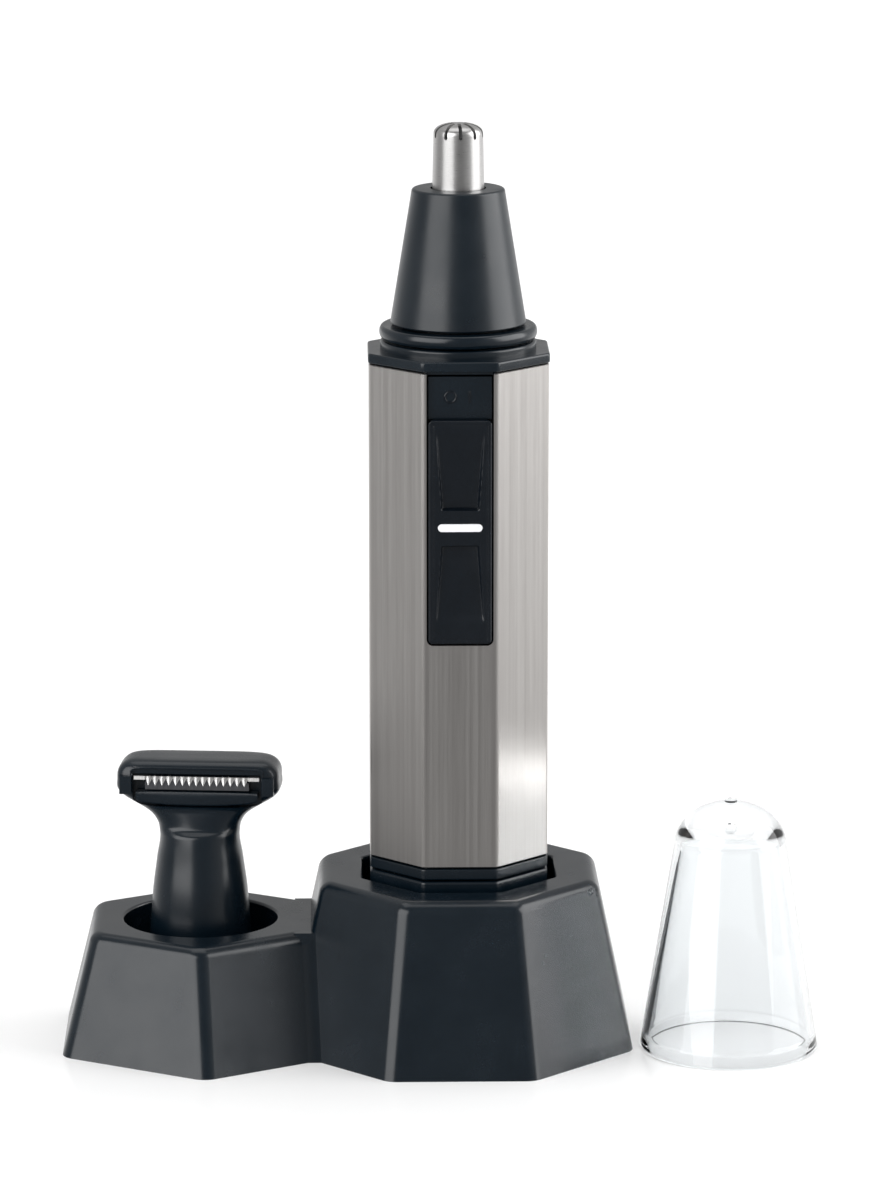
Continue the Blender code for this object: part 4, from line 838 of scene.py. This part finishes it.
def recess_points(half, low, high, front, back, corner):
    """A block across the bar's front with round corners, carried along Y."""
    turn = np.linspace(0, 2 * np.pi, 32, endpoint=False) + np.pi / 32
    x = np.sign(np.cos(turn)) * (half - corner) + corner * np.cos(turn)
    z = (low + high) / 2 + np.sign(np.sin(turn)) * ((high - low) / 2 - corner) + corner * np.sin(turn)
    return np.stack([np.stack([x, np.full_like(x, y), z], -1) for y in (front, back)])


housing = grid_object("spare_head_moulding", housing_points(), black_abs)
recess = recess_points(10.25 * MM, spare_base + 31.3 * MM, spare_base + 36.55 * MM, -8 * MM, -2.3 * MM, 0.3 * MM)
carve(housing, grid_object("recess", recess, black_abs))
ledge = recess_points(10.3 * MM, spare_base + 36.4 * MM, spare_base + 37.5 * MM, -8 * MM, -3.75 * MM, 0.3 * MM)
carve(housing, grid_object("ledge", ledge, black_abs))
neck_room = round_points(
    np.array([9.1, 9.1, 7.3, 6.03, 4.7, 4.7, 3.9, 3.9]) * MM,
    spare_base + np.array([-1.0, 1.2, 5.6, 17.9, 26.5, 27.5, 28.4, 30.0]) * MM,
)
carve(housing, grid_object("neck_room", neck_room, black_abs))
blade_room = block_points(
    (-6.5 * MM, -2.6 * MM, spare_base + 29.0 * MM), (6.5 * MM, 2.6 * MM, spare_base + 35.7 * MM), 0.3 * MM
)
carve(housing, grid_object("blade_room", blade_room, black_abs))
set_in_stand(housing)
place_piece(housing, "spare_head", "gloss_black", "spare_head_shell", sharp=40)
dress(textured_abs, "spare_base_insert", "trim_carrier")
dress(rotor_steel, "trim_shaft")


def strip_points(half, low, high, front, back, teeth, span, depth, ridge=0.0, lean=0.0):
    """A strip with a straight top and zigzag teeth pointing down, each raised to a ridge along its middle.
    The face leans back towards its top, and its ends stop short of the teeth's tips."""
    x = np.linspace(-half, half, 481)
    toothed = np.abs(x) < span / 2
    saw = np.abs(2 * (teeth * (x + span / 2) / span % 1) - 1)
    bottom = np.where(toothed, low + depth * saw, low + 0.85 * depth)
    share = np.linspace(0, 1, 5)[:, None]
    z = bottom + (high - bottom) * share
    y = front + lean * (z - low) / (high - low) + ridge * np.where(toothed, saw, 0.0) * (1 - share)
    face = np.stack(np.broadcast_arrays(x, y, z), -1)
    rear = face.copy()
    rear[..., 1] = back
    return face, rear


comb_steel = metal("polished_comb_steel", "#efeeec", 0.34, (4000.0, 4000.0, 400.0))
comb_front = -4.4 * MM
comb_low = spare_base + 34.75 * MM
comb_high = spare_base + 36.2 * MM
comb_grid = strip_points(
    9.95 * MM, comb_low, comb_high, comb_front, comb_front + 0.6 * MM, 15, 16.3 * MM, 1.05 * MM, 0.2 * MM, 0.25 * MM
)
comb = set_in_stand(shaded("trim_comb_steel", slab_mesh("trim_comb_steel", *comb_grid), comb_steel))
place_piece(comb, "spare_head", "bright_steel", "trim_comb")
blade_low = spare_base + 33.9 * MM
blade_high = spare_base + 36.0 * MM
blade_grid = strip_points(
    8.25 * MM, blade_low, blade_high, comb_front + 0.9 * MM, comb_front + 1.4 * MM, 14, 15.6 * MM, 1.0 * MM
)
for grid in blade_grid:
    grid[..., 2] = blade_low + blade_high - grid[..., 2]
blade = set_in_stand(shaded("trim_blade_steel", slab_mesh("trim_blade_steel", *blade_grid), rotor_steel))
place_piece(blade, "spare_blade", "bright_steel", "trim_blade")


def jaw_points():
    """The jaw bar's face is flat on top and bows down like a lens. Its front edge is rounded."""
    x = np.linspace(-9.65 * MM, 9.65 * MM, 81)
    top = np.full_like(x, spare_base + 33.7 * MM)
    bottom = spare_base + 32.5 * MM - 0.95 * MM * np.sqrt(np.maximum(1 - (x / (9.65 * MM)) ** 2, 0))
    share = np.linspace(0, 1, 13)[:, None]
    z = bottom[None, :] + (top - bottom)[None, :] * share
    bow = 0.18 * MM * (2 * share - 1) ** 4
    face = np.stack(np.broadcast_arrays(x[None, :], -4.45 * MM + bow, z), -1)
    back = face.copy()
    back[..., 1] = -2.7 * MM
    return face, back


jaw = set_in_stand(shaded("trim_jaw_moulding", slab_mesh("trim_jaw_moulding", *jaw_points()), black_abs))
place_piece(jaw, "spare_head", "gloss_black", "trim_jaw_bar")

for side in (-1, 1):
    ear_low = (side * 11.3 * MM - 0.95 * MM, -4.75 * MM, spare_base + 33.35 * MM)
    ear_high = (side * 11.3 * MM + 0.95 * MM, -3.2 * MM, spare_base + 36.2 * MM)
    ear = set_in_stand(grid_object(f"trim_bar_ear_{side}", block_points(ear_low, ear_high, 0.22 * MM), black_abs))
    place_piece(ear, "spare_head", "gloss_black")


def rim_points():
    """A bead along the recess's upper edge: a wire of 0.13 mm carried over a flattened arch."""
    turn = np.linspace(0, np.pi, 49)
    x = -10.45 * MM * np.sign(np.cos(turn)) * np.abs(np.cos(turn)) ** 0.12
    z = spare_base + 36.2 * MM + 1.3 * MM * np.sin(turn) ** 0.35
    section = np.linspace(0, 2 * np.pi, 10, endpoint=False)[None, :]
    ring_x = x[:, None] * (1 + 0.012 * np.cos(section))
    ring_y = -4.06 * MM + 0.13 * MM * np.sin(section)
    ring_z = z[:, None] + 0.13 * MM * np.cos(section)
    return np.stack(np.broadcast_arrays(ring_x, ring_y, ring_z), -1)


rim = set_in_stand(grid_object("trim_bar_rim", rim_points(), black_abs, along=False))
place_piece(rim, "spare_head", "gloss_black")

# ---- Clear cap ----
# The cap is moulded in clear polystyrene, with the gate's small nub left on its crown and a step
# inside its rim where it snaps over the neck ring.
clear_low, clear_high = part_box("clear_cap")
clear_x = (clear_low.x + clear_high.x) / 2
clear_y = (clear_low.y + clear_high.y) / 2


def clear_styrene():
    """Clear polystyrene: colourless, with the faintest flow marks from its gate."""
    material, tree, shader, place = blank_material("clear_polystyrene")
    flow = add(tree, "Mapping", {"Vector": place, "Scale": (260.0, 260.0, 60.0)})
    marks = add(tree, "TexNoise", {"Vector": flow.outputs["Vector"], "Scale": 1.0, "Detail": 2.0})
    bump = add(tree, "Bump", {"Height": marks.outputs["Fac"], "Strength": 0.03, "Distance": 0.00005})
    tree.links.new(bump.outputs["Normal"], shader.inputs["Normal"])
    shader.inputs["Base Color"].default_value = linear("#f6f8f9")
    shader.inputs["Roughness"].default_value = 0.02
    shader.inputs["IOR"].default_value = 1.49
    shader.inputs["Transmission Weight"].default_value = 1.0
    return material


def clear_points():
    """Up the straight taper, over a dome to the nub, and down the inside with its step by the rim."""
    base, top, shoulder = clear_high.x - clear_x, 8.85 * MM, 33.0 * MM
    dome = clear_high.z - 0.4 * MM - shoulder
    wall = 1.25 * MM
    crown = 3.6 * MM
    turn = np.linspace(0, np.pi / 2, 21)
    rim = 0.35 * MM
    foot = np.linspace(0, np.pi / 2, 6)
    radius = np.concatenate(
        [
            base - rim * (1 - np.sin(foot)),
            np.maximum(top * np.cos(turn[:-1]), 0.95 * MM),
            [0.95 * MM, 0.0, 0.0],
            (top - wall) * np.cos(turn[::-1])[1:],
            [base - wall - 0.25 * MM, base - wall - 0.05 * MM, base - wall + 0.1 * MM, base - wall + 0.1 * MM],
        ]
    )
    z = np.concatenate(
        [
            rim * (1 - np.cos(foot)),
            shoulder + dome * np.sin(turn[:-1]),
            [clear_high.z, clear_high.z, shoulder + dome - crown],
            shoulder + (dome - crown) * np.sin(turn[::-1])[1:],
            [2.6 * MM, 2.0 * MM, 1.7 * MM, 0.0],
        ]
    )
    return round_points(radius, z, 160)


clear_points_world = clear_points() + np.array([clear_x, clear_y, 0.0])
clear = grid_object("clear_cap_moulding", clear_points_world, clear_styrene(), along=True)
place_piece(clear, "cover", "clear_plastic", "clear_cap", sharp=50)

# ---- Studio ----
# A white sweep lit by two wide softboxes and one overhead. The room is dim in front and brighter at the
# right, and the gloss mouldings mirror the room rather than the sweep.


def sweep_points():
    """A floor that turns up into a back wall by a quarter circle."""
    turn = np.linspace(0, np.pi / 2, 17)
    y = np.concatenate([[-2.2, 0.9], 1.2 + 0.6 * np.sin(turn), [1.8]])
    z = np.concatenate([[0.0, 0.0], 0.6 - 0.6 * np.cos(turn), [2.6]])
    x = np.array([-2.6, 2.6])[:, None]
    return np.stack(np.broadcast_arrays(x, y[None, :], z[None, :]), -1)


def sweep_paper():
    """Gloss-coated white board that glows a little as painted light, weaker at the front and stronger towards its back,
    so the floor reads evenly white.
    """
    material, tree, shader, place = blank_material("coated_white_board")
    fibre = add(tree, "TexNoise", {"Vector": place, "Scale": 900.0, "Detail": 3.0})
    rough = add(tree, "MapRange", {"Value": fibre.outputs["Fac"], "To Min": 0.16, "To Max": 0.24})
    tree.links.new(rough.outputs["Result"], shader.inputs["Roughness"])
    shader.inputs["Base Color"].default_value = linear("#f4f4f4")
    shader.inputs["Emission Color"].default_value = (1.0, 1.0, 1.0, 1.0)
    depth = add(tree, "SeparateXYZ", {"Vector": place})
    # Painted light: the board's glow rises from 0.2 at the front to 0.42 towards the back, where the lamps light the
    # floor less.
    lift = add(
        tree,
        "MapRange",
        {"Value": depth.outputs["Y"], "From Min": -0.25, "From Max": 0.6, "To Min": 0.2, "To Max": 0.42},
    )
    tree.links.new(lift.outputs["Result"], shader.inputs["Emission Strength"])
    return material


sweep_grid = sweep_points()
sweep_mesh = bpy.data.meshes.new("white_sweep")
columns = sweep_grid.shape[1]
start = np.arange(columns - 1)
sweep_faces = np.stack([start, start + columns, start + columns + 1, start + 1], -1)
sweep_mesh.from_pydata(sweep_grid.reshape(-1, 3).tolist(), [], sweep_faces.tolist())
sweep_mesh.shade_smooth()
sweep_mesh.materials.append(sweep_paper())
sweep = bpy.data.objects.new("white_sweep", sweep_mesh)
bpy.context.scene.collection.objects.link(sweep)
sweep.visible_glossy = False


def softbox(name, bearing, height, distance, width, tall, power):
    """A rectangular light on a bearing from the front, aimed at the object's middle."""
    data = bpy.data.lights.new(name, "AREA")
    data.shape = "RECTANGLE"
    data.size = width
    data.size_y = tall
    data.energy = power
    lamp = bpy.data.objects.new(name, data)
    bpy.context.scene.collection.objects.link(lamp)
    angle = np.radians(bearing)
    lamp.location = (distance * np.sin(angle), -distance * np.cos(angle), height)
    aim = Vector((0, 0, 0.06)) - lamp.location
    lamp.rotation_euler = aim.to_track_quat("-Z", "Y").to_euler()


softbox("left_softbox", -47, 0.55, 1.2, 1.28, 1.2, 13.5)
softbox("right_softbox", 87, 0.55, 1.2, 1.28, 1.2, 15.3)
softbox("top_softbox", 180, 1.7, 0.25, 1.6, 1.2, 6.0)

world = bpy.data.worlds.new("studio_air")
world.use_nodes = True
world_tree = world.node_tree
direction = add(world_tree, "TexCoord").outputs["Generated"]
parts = add(world_tree, "SeparateXYZ", {"Vector": direction})
depth_level = add(
    world_tree,
    "MapRange",
    {"Value": parts.outputs["Y"], "From Min": -0.6, "From Max": 0.6, "To Min": 0.22, "To Max": 0.47},
    interpolation_type="SMOOTHSTEP",
)
right_level = add(
    world_tree,
    "MapRange",
    {"Value": parts.outputs["X"], "From Min": 0.2, "From Max": 1.0, "To Min": 0.0, "To Max": 0.28},
    interpolation_type="SMOOTHSTEP",
)
below = add(
    world_tree,
    "MapRange",
    {"Value": parts.outputs["Z"], "From Min": 0.04, "From Max": -0.06, "To Min": 0.0, "To Max": 0.5},
)
behind = add(
    world_tree,
    "MapRange",
    {"Value": parts.outputs["Y"], "From Min": 0.3, "From Max": 0.8, "To Min": 0.0, "To Max": 1.0},
)
paper = add(
    world_tree,
    "Math",
    {0: below.outputs["Result"], 1: behind.outputs["Result"], 2: depth_level.outputs["Result"]},
    operation="MULTIPLY_ADD",
)
level = add(
    world_tree,
    "Math",
    {0: paper.outputs["Value"], 1: right_level.outputs["Result"]},
    operation="ADD",
)
background = world_tree.nodes["Background"]
background.inputs["Color"].default_value = (1.0, 1.0, 1.0, 1.0)
world_tree.links.new(level.outputs["Value"], background.inputs["Strength"])
bpy.context.scene.world = world
bpy.context.scene.view_settings.view_transform = "Standard"
